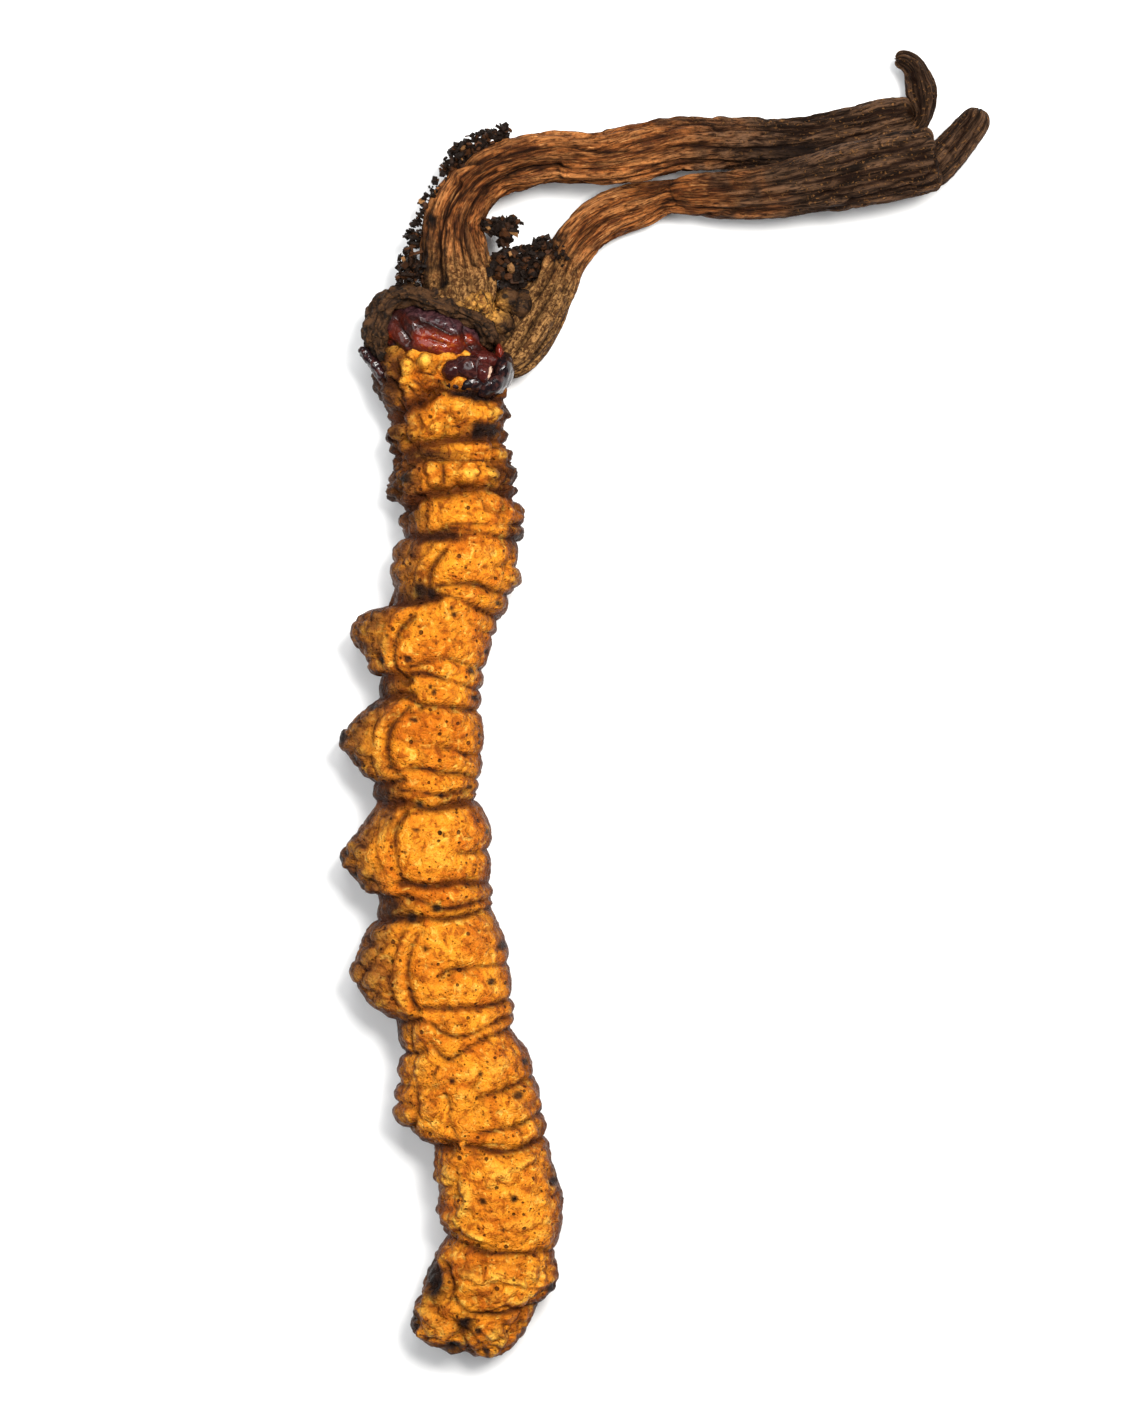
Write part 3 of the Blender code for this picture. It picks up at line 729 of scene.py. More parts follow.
speck = skin.sum("MAXIMUM", specks(0.42, 0.34, 0.05), skin.times(specks(0.19, 0.40, 0.08), 0.7))
amber = skin.mix(skin.sharpen(patch, 0.36, 0.66), (0.80, 0.275, 0.016), (0.56, 0.140, 0.007))
belly_brown = skin.mix(skin.sharpen(mottle, 0.4, 0.62), (0.16, 0.055, 0.013), (0.030, 0.011, 0.005))
colour = skin.layers(
    amber,
    # Raised skin is painted a lighter gold: a painted highlight.
    (skin.broken(crest, patch, 0.62, 0.34, 0.25, 0.95), (0.94, 0.475, 0.055)),
    (skin.sharpen(mottle, 0.52, 0.64, 0.0, 0.75), (0.32, 0.064, 0.004)),
    (skin.sharpen(mottle, 0.45, 0.32, 0.0, 0.75), (0.94, 0.51, 0.080)),
    (skin.sharpen(fine, 0.56, 0.70, 0.0, 0.40), (0.20, 0.04, 0.004)),
    # Skin that faces sideways is painted darker: a painted shade.
    (skin.broken(steep, mottle, 0.3, 0.6, 0.45, 0.88), (0.19, 0.045, 0.005)),
    # Skin turned away from the light above is painted dark brown: a painted shade.
    (skin.broken(rim, mottle, 0.3, 0.6, 0.75, 0.95), (0.085, 0.020, 0.003)),
    # The belly side is browner: partly its own colour, partly painted shade.
    (skin.broken(belly, patch, 0.3, 0.6, 0.55, 0.95), belly_brown),
    # The hollows of the folds are darkened: a painted shade.
    (skin.sharpen(low, 0.22, 0.95, 0.0, 0.92), (0.085, 0.018, 0.002)),
    # Broad dark patches: partly stains, partly painted shade in crevices.
    (skin.broken(stain, mottle, 0.3, 0.6, 0.6, 0.97), (0.026, 0.009, 0.004)),
    # Crease lines and the valleys of ripples and beads are painted near black: partly soil, partly painted
    # shade.
    (skin.broken(fold, patch, 0.35, 0.6, 0.45, 0.92), (0.030, 0.008, 0.003)),
    (skin.times(speck, 0.85), (0.040, 0.009, 0.003)),
    (skin.times(spot, 0.92), (0.010, 0.005, 0.004)),
)
bumps = skin.plus(skin.times(fine, 0.45), mottle)
bumps = skin.sum("SUBTRACT", bumps, skin.times(speck, 0.5))
larva_skin = skin.finish(colour, skin.sharpen(mottle, 0.3, 0.7, 0.30, 0.55), skin.relief(bumps, 0.30))

# %% [markdown]
# ## The larva
#
# The larva is one skin, so it is one fine tube: first its plain outline, then
# the folds, then wrinkles and beads, and last the colours. A displacement
# modifier could push the skin too, but here every height is a sum of terms
# that can be read and changed one at a time.

# %% The larva's plain shape
LARVA_SIDES = 204
LARVA_RINGS = 486
CROWDING = 0.12         # how far the rings crowd towards the rounded ends, to close them neatly
BLUNT_BELLY = 0.72      # below 1 the belly side is squarer, so that the false legs end bluntly
FULLNESS = 0.88         # below 1 the section is fuller than an oval
CLEFT_DEPTH = 0.6       # the false legs are pairs, and this share of them is cleft
CLEFT_WIDTH = 0.38


def signed_power(value, power):
    return np.sign(value) * np.abs(value) ** power


larva = unit_tube(LARVA_SIDES, LARVA_RINGS)
unit = points_of(larva)
share = unit[:, 2]
y = BACK[0][0] + (BACK[-1][0] - BACK[0][0]) * (
    CROWDING * (1 - np.cos(np.pi * share)) / 2 + (1 - CROWDING) * share)
radius = np.hypot(unit[:, 0], unit[:, 1])
turn = np.arctan2(unit[:, 1], unit[:, 0])
back, front = edge(BACK, y), edge(BELLY, y)
middle = (back + front) / 2
squareness = np.where(np.cos(turn) > 0, 1.0, BLUNT_BELLY)
x = middle + (back - front) / 2 * signed_power(np.cos(turn), squareness) * radius
z = AXIS_Z + edge(HEIGHTS, y) * signed_power(np.sin(turn), FULLNESS) * radius
plain_belly = -12.6 + 0.45 * np.sin(0.22 * y)
stands_out = np.clip(plain_belly - x, 0, 2.0)
x += stands_out * CLEFT_DEPTH * np.exp(-(((z - AXIS_Z) / CLEFT_WIDTH) ** 2))
move_to(larva, np.column_stack((x, y, z)))
print("the larva is", round((back - front).max(), 1), "mm wide at its widest")

# %% The larva's folds
base, outward = points_of(larva), normals_of(larva)
down = base[:, 1]
under = smoothstep(AXIS_Z + 0.8, AXIS_Z - 1.0, base[:, 2])
# The strokes stray a little, and more so on the underside.
wander = np.column_stack((rough(base, 1.6, 1, 2), rough(base, 1.6, 2, 2)))
wander *= (0.07 + 0.28 * under)[:, None]
flank = base[:, :2] + wander
folds, crease_line = carve(flank, CREASES, ROLLS)
# Creases are deep in some places and almost closed in others.
folds *= 1 + 0.40 * rough(base, 1.5, 9, 2)
crease_line *= smoothstep(-0.45, 0.25, rough(base, 0.9, 10, 2))
print("the deepest fold is", round(-folds.min(), 2), "mm")

# %% The larva's wrinkles and beads
BEAD_SIZE = 0.72
BEAD_HEIGHT = 0.42

ends = smoothstep(7.5, 10.5, down) + 0.45 * smoothstep(-14.0, -16.5, down)
ripples = np.abs(rough(base * (0.6, 1.2, 0.8), 0.80, 7, 2))
small_ripples = np.abs(rough(base * (0.7, 1.1, 0.8), 0.30, 8, 2))
calm_side = 1 - 0.6 * smoothstep(0.5, 0.1, outward[:, 2]) * smoothstep(8.5, 6.5, down)
swelling = (0.05 + 0.08 * ends) * rough(base, 0.8, 3) + 0.03 * rough(base, 0.28, 4)
swelling += calm_side * ((0.16 + 0.22 * ends) * (np.minimum(ripples, 0.5) - 0.2)
                         + 0.09 * np.minimum(small_ripples, 0.4))
swelling += domes(flank, KNOBS)
# Beads of skin crowd the sides of the thorax, and the tail.
off_middle = np.abs((base[:, 0] - middle) / (back - front))
beady = smoothstep(7.6, 9.0, down) * smoothstep(0.08, 0.30, off_middle)
beady = np.maximum(beady, 0.55 * smoothstep(-24.0, -25.5, down))
beady = np.clip(beady + 0.8 * smoothstep(13.6, 14.4, down), 0, 1)
crowded = beady > 0.02
bead = np.full(len(base), 0.5)
bead[crowded] = cobbles(base[crowded], BEAD_SIZE)
swelling += beady * BEAD_HEIGHT * (np.sqrt(1 - np.minimum(bead / 0.80, 1) ** 2) - 0.65)
print(round(crowded.mean() * 100), "% of the skin is beaded")

# %% The larva's colours
PIT_DEPTH = 0.05
# A fold this deep gets the full painted shade of the hollows.
DARK_FOLD = 0.36        # a fold this deep is fully dark

spots = dapple(flank, SPOTS) * (1 - under)
height = folds + swelling - PIT_DEPTH * spots
# How steep the skin is, for the painted shade on its sides.
steep_skin = push(larva, base, outward, height)
# The valleys of ripples and the gaps between beads are painted dark: a painted shade.
valley = 0.55 * np.exp(-((ripples / 0.05) ** 2)) + 0.35 * np.exp(-((small_ripples / 0.05) ** 2))
valley = np.maximum(valley, 0.8 * beady * smoothstep(0.58, 0.78, bead))
across = (base[:, 0] - front) / (back - front)
# The belly side is painted browner, partly its own colour and partly painted shade.
belly_side = smoothstep(0.33, 0.13, across + 0.07 * rough(base, 1.2, 5, 2))
belly_side *= 1 - 0.7 * smoothstep(-12.5, -15.5, down)
# Painted shade on skin that turns away from the light above.
turned_away = smoothstep(0.72, 0.10, outward[:, 2] + 0.10 * rough(base, 1.2, 6, 2))
# Broad dark patches, partly stains and partly painted shade in the crevices.
stained = dapple(flank + 0.25 * wander, STAINS, 0.9)
make_piece("dried_larva", larva, larva_skin, "larva_skin", "larva_body",
           # Crease lines are partly soil and partly painted shade.
           fold=np.maximum(crease_line, valley), low=np.clip(-folds / DARK_FOLD, 0, 1),
           belly=belly_side, spot=spots, rim=turned_away, stain=stained, steep=steep_skin,
           # Raised skin gets the painted highlight.
           crest=smoothstep(0.02, 0.20, height))

# %% [markdown]
# ## The stromata's bark
#
# A stroma dries into long wrinkles like bark. The pattern has to follow the
# stalk round its bend, which plain object coordinates can't do, so each tube
# carries a vector that says where a point lies round the stalk and along it.
# Towards the club the colour goes from rust to almost black, and the club's
# skin breaks into small scales with pale flecks.

# %% Bark finish
bark = Finish("stroma_bark", Specular_IOR_Level=0.05)
way, tipward, furrow = bark.field("way", "Vector"), bark.field("tipward"), bark.field("furrow")
strand_top = bark.field("strand_top")
tan, soiled, steep_bark = bark.field("tan"), bark.field("soiled"), bark.field("steep")
strands = bark.grain(0.15, 6, 0.6, way, roughness=0.66)
thin_strands = bark.grain(0.065, 4, 0.4, way, roughness=0.6)
net = bark.grain(0.20, 6, 0.9, roughness=0.64)
blotch = bark.grain(1.2, 4, 0.5)
fleck = bark.sharpen(bark.grain(0.14, 3, 0.5), 0.58, 0.66)
woody = bark.layers(
    bark.mix(bark.sharpen(net, 0.42, 0.58), (0.48, 0.240, 0.080), (0.100, 0.043, 0.016)),
    (bark.sharpen(thin_strands, 0.50, 0.62, 0.0, 0.7), (0.055, 0.022, 0.009)),
)
dark_end = bark.layers(
    bark.mix(bark.sharpen(strands, 0.42, 0.58), (0.085, 0.044, 0.024), (0.010, 0.006, 0.004)),
    # The strands' tops are painted lighter: a painted highlight.
    (bark.times(strand_top, 0.38), (0.28, 0.145, 0.078)),
    (bark.sharpen(thin_strands, 0.50, 0.60, 0.0, 0.85), (0.010, 0.006, 0.004)),
)
colour = bark.layers(
    bark.mix(bark.sharpen(strands, 0.42, 0.58), (0.40, 0.128, 0.032), (0.13, 0.037, 0.011)),
    # The strands' tops are painted lighter: a painted highlight.
    (bark.times(strand_top, 0.34), (0.72, 0.30, 0.095)),
    (bark.sharpen(thin_strands, 0.50, 0.62, 0.0, 0.85), (0.040, 0.013, 0.006)),
    (bark.sharpen(thin_strands, 0.44, 0.32, 0.0, 0.75), (0.66, 0.30, 0.10)),
    (bark.sharpen(blotch, 0.48, 0.70, 0.0, 0.65), (0.060, 0.019, 0.008)),
    (tan, woody),
    (bark.sharpen(bark.plus(tipward, bark.times(blotch, 0.5)), 0.38, 0.80), dark_end),
    (bark.times(fleck, bark.sharpen(tipward, 0.3, 0.7, 0.25, 0.6)), (0.33, 0.150, 0.05)),
    # Steep sides of the stalk are painted darker: a painted shade.
    (bark.times(steep_bark, 0.65), (0.036, 0.012, 0.004)),
    # Grooves and wrinkle valleys are painted near black: a painted shade.
    (bark.times(furrow, 0.90), (0.012, 0.005, 0.003)),
    # Soil patches, and on the upper stroma painted shade: its dark outer flank and a painted shadow where the
    # lower club lies over it.
    (soiled, (0.008, 0.005, 0.004)),
)
bumps = bark.plus(bark.times(thin_strands, 0.6), strands)
bumps = bark.plus(bumps, bark.times(fleck, 0.25))
bumps = bark.plus(bumps, bark.times(net, bark.sharpen(tan, 0.0, 1.0, 0.2, 1.0)))
stroma_bark = bark.finish(colour, bark.sharpen(strands, 0.3, 0.7, 0.40, 0.7), bark.relief(bumps, 0.26))


# %% [markdown]
# ## A stalk
#
# Both stromata and their tips are the same kind of thing, an oval tube with
# bark, so one function makes all four. It wrinkles the tube along its length,
# cuts the chosen grooves, and paints where the bark is tan, dark or soiled. It
# also paints shade in the grooves, in the wrinkle valleys and on steep sides,
# shade on the upper stroma's outer flank, a shadow along the upper club where
# the lower club lies over it, and highlights along the tops of the strands.

# %% A stalk along its path
AROUND = 1.1            # size of the bark's pattern round a stalk
ALONG = 0.11            # and along it, so that strands are ten times as long as wide
GROOVING = 1.1          # how much deeper the drawn grooves are cut than they say
# A drawn groove this deep gets the full painted shade at its bottom.
DARK_GROOVE = 0.50      # a groove this deep is dark at its bottom
LONG_FOLD = 1.5         # shares of the wrinkle's height in mm
THIN_FOLD = 0.9
FOLD_MEAN = 0.55
# The edges of the painted shade patches wander the same way.
RAGGED = 0.25           # how far in mm the soil's edge wanders
# Where a stalk's side starts and stops counting as steep, for its painted shade.
SIDE_FACING = (0.80, 0.15)
NOWHERE = (-2, -1)      # a range of shares that ends before the stalk starts


def stalk(name, path, sides, rings, grooves, ridges, wrinkle, tan_to, dark_from, soil, *nodes,
          round_ends=(0.03, 0.02), seed=1):
    """A stroma: a tube wrinkled lengthways, tan up to one share of its length, dark from another."""
    bm, unit, blunt = tube(path, sides, rings, round_ends)
    t = unit[:, 2]
    base, outward = points_of(bm), normals_of(bm)
    steps = np.linspace(0, 1, 400)
    walked = np.cumsum(np.linalg.norm(np.diff(spline(path, steps)[:, :3], axis=0), axis=1))
    walked = np.interp(t, steps[1:], walked)
    way = np.column_stack((unit[:, 0] * AROUND, unit[:, 1] * AROUND, walked * ALONG))
    long_folds = np.abs(rough(way, 0.62, seed, 2))
    thin_folds = np.abs(rough(way, 0.22, seed + 1, 2))
    topside = smoothstep(-0.25, 0.25, unit[:, 1])
    cut, line = carve(base[:, :2], grooves, ridges)
    cut *= GROOVING
    # The deeper a drawn groove, the darker its bottom is painted, as shade.
    depth = np.clip(-cut / DARK_GROOVE, 0, 1) ** 2
    calm = smoothstep(0, 0.35, blunt)
    height = wrinkle * (LONG_FOLD * np.minimum(long_folds, 0.5)
                        + THIN_FOLD * np.minimum(thin_folds, 0.4) - FOLD_MEAN)
    height = height * calm + cut * topside + 0.02 * rough(base, 0.35, seed + 2)
    steep = push(bm, base, outward, height, SIDE_FACING)
    # Wrinkle valleys are painted dark, as shade.
    valley = np.exp(-((long_folds / 0.055) ** 2)) * 0.85 + np.exp(-((thin_folds / 0.045) ** 2)) * 0.6
    make_piece(name, bm, stroma_bark, "stroma_bark", *nodes, way=way,
               tipward=smoothstep(dark_from[0], dark_from[1], t),
               tan=1 - smoothstep(tan_to[0], tan_to[1], t),
               furrow=np.clip(valley * calm + (line + depth) * topside, 0, 1), steep=steep,
               # Lighter tops of the strands: a painted highlight.
               strand_top=smoothstep(0.18, 0.42, long_folds) * smoothstep(0.03, 0.14, thin_folds),
               # Soil patches and painted shade patches.
               soiled=dapple(base[:, :2] + RAGGED * rough(base, 0.4, seed + 3)[:, None], soil, 0.95))


# %% [markdown]
# ## The upper stroma
#
# It rises from the crown of the head, bends over to the right in an arch of
# three parallel strands, crosses above the lower stroma and comes down to the
# table as a dark club with a bare hooked tip.

# %% Upper stroma
UPPER = [
    (-9.25, 17.6, 2.4, 1.5, 1.3), (-9.4, 18.9, 2.4, 1.66, 1.42), (-9.56, 20.4, 2.4, 1.44, 1.32),
    (-9.52, 21.6, 2.42, 1.28, 1.22), (-9.22, 22.4, 2.48, 1.22, 1.14), (-8.72, 23.1, 2.55, 1.19, 1.07),
    (-8.0, 23.68, 2.65, 1.17, 1.03), (-7.1, 24.05, 2.75, 1.15, 1.0), (-5.2, 24.4, 2.9, 1.1, 1.0),
    (-2.95, 24.35, 3.0, 1.08, 1.0), (-1.15, 24.75, 2.8, 1.24, 1.05), (0.65, 25.15, 2.3, 1.17, 1.05),
    (3.3, 25.3, 1.5, 1.12, 1.05), (6.0, 25.4, 1.05, 1.12, 1.02), (8.7, 25.95, 0.98, 1.0, 0.98),
    (9.9, 26.3, 0.98, 0.92, 0.94), (10.6, 26.45, 1.0, 0.86, 0.9), (11.25, 26.6, 1.05, 0.8, 0.8),
]
UPPER_TIP = [
    (10.6, 26.1, 0.95, 0.30, 0.40), (11.25, 25.95, 1.0, 0.34, 0.55), (11.6, 26.35, 1.1, 0.36, 0.60),
    (11.66, 27.0, 1.25, 0.56, 0.62), (11.58, 27.6, 1.35, 0.68, 0.60), (11.45, 28.15, 1.42, 0.62, 0.56),
    (11.25, 28.65, 1.45, 0.50, 0.52), (10.88, 28.98, 1.5, 0.44, 0.46), (10.45, 29.05, 1.55, 0.40, 0.40),
]
UPPER_GROOVES = [
    (0.42, 0.42, [(-10.2, 18.4), (-10.32, 20.2), (-10.26, 21.1), (-10.0, 22.1), (-9.6, 22.8), (-9.2, 23.4)]),
    (0.36, 0.32, [(-9.85, 21.6), (-9.7, 22.1), (-9.3, 22.6), (-8.84, 23.05), (-8.3, 23.4), (-7.5, 23.75)]),
    (0.42, 0.46, [(-8.45, 19.4), (-8.84, 20.8), (-8.77, 21.6), (-8.5, 22.2), (-8.0, 22.77), (-7.3, 23.2),
                  (-6.64, 23.6), (-6.0, 23.8), (-4.6, 23.85)]),
    (0.36, 0.30, [(-9.5, 24.0), (-8.58, 24.25), (-7.93, 24.5), (-7.03, 24.64), (-6.06, 24.83),
                  (-5.2, 24.93), (-4.1, 24.9), (-3.15, 24.64), (-1.6, 24.6)]),
    (0.26, 0.16, [(-9.35, 18.9), (-9.5, 20.0), (-9.45, 21.2), (-9.15, 22.0)]),
    (0.26, 0.14, [(-6.6, 24.25), (-5.2, 24.4), (-3.6, 24.3)]),
    (0.30, 0.16, [(-3.5, 24.0), (-1.5, 24.2), (0.5, 24.8), (2.5, 25.1)]),
    (0.30, 0.16, [(1.0, 24.8), (3.5, 24.9), (6.5, 25.1), (9.0, 25.6)]),
    (0.26, 0.20, [(4.0, 25.3), (7.0, 25.7), (9.0, 26.1), (10.8, 26.6)]),
    (0.26, 0.22, [(-9.9, 18.6), (-9.95, 20.0), (-9.9, 21.3)]),
    (0.24, 0.20, [(-8.95, 19.2), (-9.1, 20.6), (-9.05, 21.5), (-8.8, 22.2)]),
    (0.24, 0.18, [(-8.6, 23.6), (-7.4, 24.1), (-5.8, 24.25), (-4.2, 24.15)]),
    (0.30, 0.14, [(2.0, 25.8), (4.5, 25.8), (7.5, 26.2), (9.5, 26.7)]),
]
TIP_GROOVES = [
    (0.35, 0.25, [(11.35, 26.4), (11.4, 27.1), (11.3, 27.7), (11.1, 28.2)]),
    (0.30, 0.15, [(11.9, 27.9), (11.6, 28.3), (11.2, 28.5)]),
]
# Painted shade: the dark outer flank of the rise, and the shadow of the lower club along the upper club.
UPPER_SOIL = [(-10.8, 19.8, 0.42, 1.9), (-10.6, 21.6, 0.35, 1.0), (-9.95, 18.7, 0.35, 0.3),
              (7.5, 24.75, 5.5, 0.45)]
stalk("upper_stroma", UPPER, 116, 580, UPPER_GROOVES, (), 0.30, (0.03, 0.16), (0.42, 1.0),
      UPPER_SOIL, "stroma_upper", round_ends=(0.03, 0.03), seed=11)
stalk("upper_stroma_tip", UPPER_TIP, 64, 150, TIP_GROOVES, (), 0.16, NOWHERE, NOWHERE, (),
      round_ends=(0.08, 0.10), seed=14)

# %% [markdown]
# ## The lower stroma
#
# It leaves the side of the head as a broad root, narrows at a waist where an
# old scar looks like an eye, and swells into the thicker club. The bare tip
# comes out from under the club's blunt end, so it is a tube of its own.

# %% Lower stroma
LOWER = [
    (-7.6, 15.0, 1.75, 0.7, 0.9), (-6.85, 15.9, 1.75, 1.15, 1.25), (-6.25, 16.9, 1.7, 1.3, 1.25),
    (-5.6, 17.9, 1.62, 1.12, 1.12), (-5.05, 19.0, 1.5, 0.98, 1.02), (-4.5, 20.2, 1.4, 0.93, 0.96),
    (-3.7, 21.2, 1.3, 1.0, 0.95), (-2.7, 21.95, 1.25, 1.0, 0.92), (-1.2, 22.5, 1.3, 0.93, 0.9),
    (-0.1, 22.85, 1.45, 0.76, 0.8), (0.7, 22.9, 1.65, 0.82, 0.82), (1.6, 22.88, 1.85, 0.96, 0.9),
    (4.2, 22.9, 2.4, 1.08, 1.0), (6.9, 23.3, 2.95, 1.3, 1.1), (8.73, 23.7, 3.25, 1.45, 1.15),
    (10.2, 24.0, 3.3, 1.47, 1.12), (11.3, 24.25, 3.2, 1.46, 1.05), (12.15, 24.45, 3.1, 1.36, 0.95),
]
LOWER_GROOVES = [
    (0.30, 0.20, [(-5.0, 20.6), (-5.1, 19.6), (-5.35, 18.9), (-5.9, 18.2)]),
    (0.30, 0.15, [(-1.9, 22.45), (-1.4, 22.6), (-0.8, 22.75), (0.0, 23.2)]),
    (0.22, 0.10, [(0.3, 23.6), (0.12, 23.2), (0.3, 22.6), (0.6, 22.2)]),
    (0.30, 0.14, [(2.0, 23.3), (4.5, 23.3), (7.5, 23.9), (9.5, 24.6), (11.3, 25.2)]),
    (0.30, 0.28, [(6.0, 23.1), (8.5, 23.5), (10.3, 23.95), (11.7, 24.4)]),
    (0.30, 0.28, [(6.8, 22.6), (8.5, 22.9), (10.5, 23.4), (11.5, 23.6)]),
    (0.26, 0.22, [(8.0, 22.3), (9.5, 22.6), (11.1, 23.0)]),
    (0.30, 0.24, [(7.5, 24.1), (9.0, 24.5), (11.6, 25.0)]),
    (0.22, 0.14, [(12.0, 25.4), (12.1, 24.6), (11.95, 23.9), (11.5, 23.2)]),
    (0.30, 0.16, [(-6.7, 15.6), (-5.9, 16.9), (-5.3, 18.0)]),
    (0.30, 0.14, [(-7.3, 16.2), (-6.6, 17.2), (-6.0, 18.0)]),
]
LOWER_RIDGES = [
    (0.30, 0.16, [(-5.35, 20.3), (-5.45, 19.3), (-5.9, 18.6), (-6.5, 18.0)]),
    (0.25, 0.10, [(-2.1, 22.5), (-1.7, 22.75), (-1.2, 22.6), (-1.5, 22.35), (-2.0, 22.4)]),
]
LOWER_SOIL = [(-5.2, 20.5, 0.45), (-4.7, 20.9, 0.4), (-6.9, 17.6, 0.4), (-4.9, 20.0, 0.3), (-7.2, 16.6, 0.4)]
LOWER_TIP = [
    (11.2, 23.5, 2.5, 0.55, 0.45), (11.9, 23.95, 2.5, 0.85, 0.62), (12.6, 24.6, 2.5, 0.84, 0.70),
    (13.3, 25.4, 2.45, 0.78, 0.66), (13.8, 26.05, 2.4, 0.72, 0.6), (14.1, 26.7, 2.35, 0.56, 0.5),
]
LOWER_TIP_GROOVES = [
    (0.40, 0.30, [(12.6, 24.6), (13.2, 25.3), (13.5, 26.1), (13.7, 26.6)]),
    (0.30, 0.14, [(13.3, 24.6), (13.8, 25.4), (14.1, 26.2)]),
]
stalk("lower_stroma", LOWER, 116, 580, LOWER_GROOVES, LOWER_RIDGES, 0.26, (0.20, 0.36), (0.45, 1.0),
      LOWER_SOIL, "stroma_lower", round_ends=(0.03, 0.03), seed=21)
stalk("lower_stroma_tip", LOWER_TIP, 64, 130, LOWER_TIP_GROOVES, (), 0.12, NOWHERE, NOWHERE, (),
      round_ends=(0.1, 0.16), seed=31)

# %% [markdown]
# ## The head shell
#
# The head is a hard, polished shell, plum brown on its upper band and red
# where light gets through it. It is a ball, flattened and tilted, with one
# deep crease across its face, and its creases are painted dark as shade. A
# clear coat gives the small sharp highlights.

# %% Head finish
shell = Finish("head_shell", Coat_Weight=0.3, Coat_Roughness=0.03, Specular_IOR_Level=0.1)
plum, ember, shell_fold = shell.field("plum"), shell.field("ember"), shell.field("fold")
cloud = shell.grain(0.7, 4, 0.8)
fine_cloud = shell.grain(0.2, 4, 0.5)
red_brown = shell.mix(shell.sharpen(cloud, 0.35, 0.62), (0.065, 0.010, 0.005), (0.020, 0.006, 0.005))
glow = shell.mix(shell.sharpen(fine_cloud, 0.50, 0.66), (0.18, 0.015, 0.004), (0.30, 0.060, 0.007))
dark_plum = shell.mix(shell.sharpen(fine_cloud, 0.4, 0.7), (0.024, 0.009, 0.011), (0.070, 0.026, 0.028))
# The head's creases are painted near black: a painted shade.
colour = shell.layers(red_brown, (ember, glow), (plum, dark_plum),
                      (shell.times(shell_fold, 0.9), (0.008, 0.004, 0.004)))
head_shell = shell.finish(colour, shell.sharpen(fine_cloud, 0.3, 0.7, 0.2, 0.42),
                          shell.relief(shell.plus(cloud, fine_cloud), 0.12))


# %% A lump
def lump(at, half, turned=0.0, fineness=5):
    """A ball stretched to half sizes in mm, turned in the plan, at its place."""
    bm = bmesh.new()
    bmesh.ops.create_icosphere(bm, subdivisions=fineness, radius=1)
    shape = Matrix.Rotation(math.radians(turned), 4, "Z") @ Matrix.Diagonal((*half, 1))
    bmesh.ops.transform(bm, matrix=Matrix.Translation(at) @ shape, verts=bm.verts)
    bm.normal_update()
    return bm


def sculpt(bm, creases, ridges=(), *noises):
    """Pushes a piece in and out along its normals, and returns the crease lines, to be painted dark as shade.
    """
    base, outward = points_of(bm), normals_of(bm)
    height, line = carve(base[:, :2], creases, ridges)
    top = smoothstep(-0.2, 0.4, outward[:, 2])
    height *= top
    for amount, size, seed in noises:
        height += amount * rough(base, size, seed)
    push(bm, base, outward, height)
    return line * top


def join_lobes(lobes, fineness, seeds, coarse, fine):
    """Rough lumps from (middle, half sizes, turn) in one bmesh, and the lobe of each point."""
    joined = bmesh.new()
    owner = []
    for number, (shape, seed) in enumerate(zip(lobes, seeds)):
        lobe = lump(*shape, fineness)
        sculpt(lobe, [], [], (*coarse, seed), fine)
        part = bpy.data.meshes.new("lobe")
        lobe.to_mesh(part)
        lobe.free()
        joined.from_mesh(part)
        owner += [number] * len(part.vertices)
        bpy.data.meshes.remove(part)
    return joined, np.array(owner)


# %% The head
HEAD_CREASES = [
    (0.40, 0.34, [(-11.2, 17.2), (-10.5, 16.95), (-9.8, 16.55), (-9.3, 16.35)]),
    (0.30, 0.22, [(-12.1, 17.3), (-11.9, 16.7), (-11.6, 16.2), (-11.4, 15.8)]),
    (0.30, 0.24, [(-9.0, 16.9), (-8.9, 16.2), (-8.6, 15.7)]),
    (0.30, 0.16, [(-12.9, 16.3), (-12.3, 16.1), (-11.9, 15.5)]),
    (0.25, 0.12, [(-10.8, 16.2), (-10.1, 16.0), (-9.6, 15.9)]),
]
head = lump((-10.5, 16.4, 2.4), (2.58, 1.52, 2.05), -15, 6)
line = sculpt(head, HEAD_CREASES, [], (0.10, 1.1, 51), (0.035, 0.35, 52))
spots_xy = points_of(head)[:, :2]
# The plum band lies beyond a slanting, wavering line across the shell.
band = spots_xy[:, 1] - (16.95 - 0.36 * (spots_xy[:, 0] + 10.5)) + 0.15 * rough(points_of(head), 0.8, 53)
plum_field = np.maximum(smoothstep(-0.15, 0.12, band), smoothstep(-12.1, -12.7, spots_xy[:, 0]))
EMBERS = [
    (-10.7, 16.15, 0.8, 0.50), (-9.9, 15.95, 0.8, 0.5), (-12.5, 16.3, 0.25, 0.3), (-8.9, 16.2, 0.3, 0.3),
]
embers = dapple(spots_xy + 0.12 * rough(points_of(head), 0.5, 54)[:, None], EMBERS, 0.8)
make_piece("glossy_head", head, head_shell, "head_shell", "head_capsule", plum=plum_field * (1 - embers),
           ember=embers, fold=line)

# %% [markdown]
# ## Mouthparts and leg
#
# Under the shell sit the jaws and lip, shrunk to a few black lobes that still
# shine, and one hooked leg survives on the belly side. Both are the same dark
# hard skin, so they share a finish.

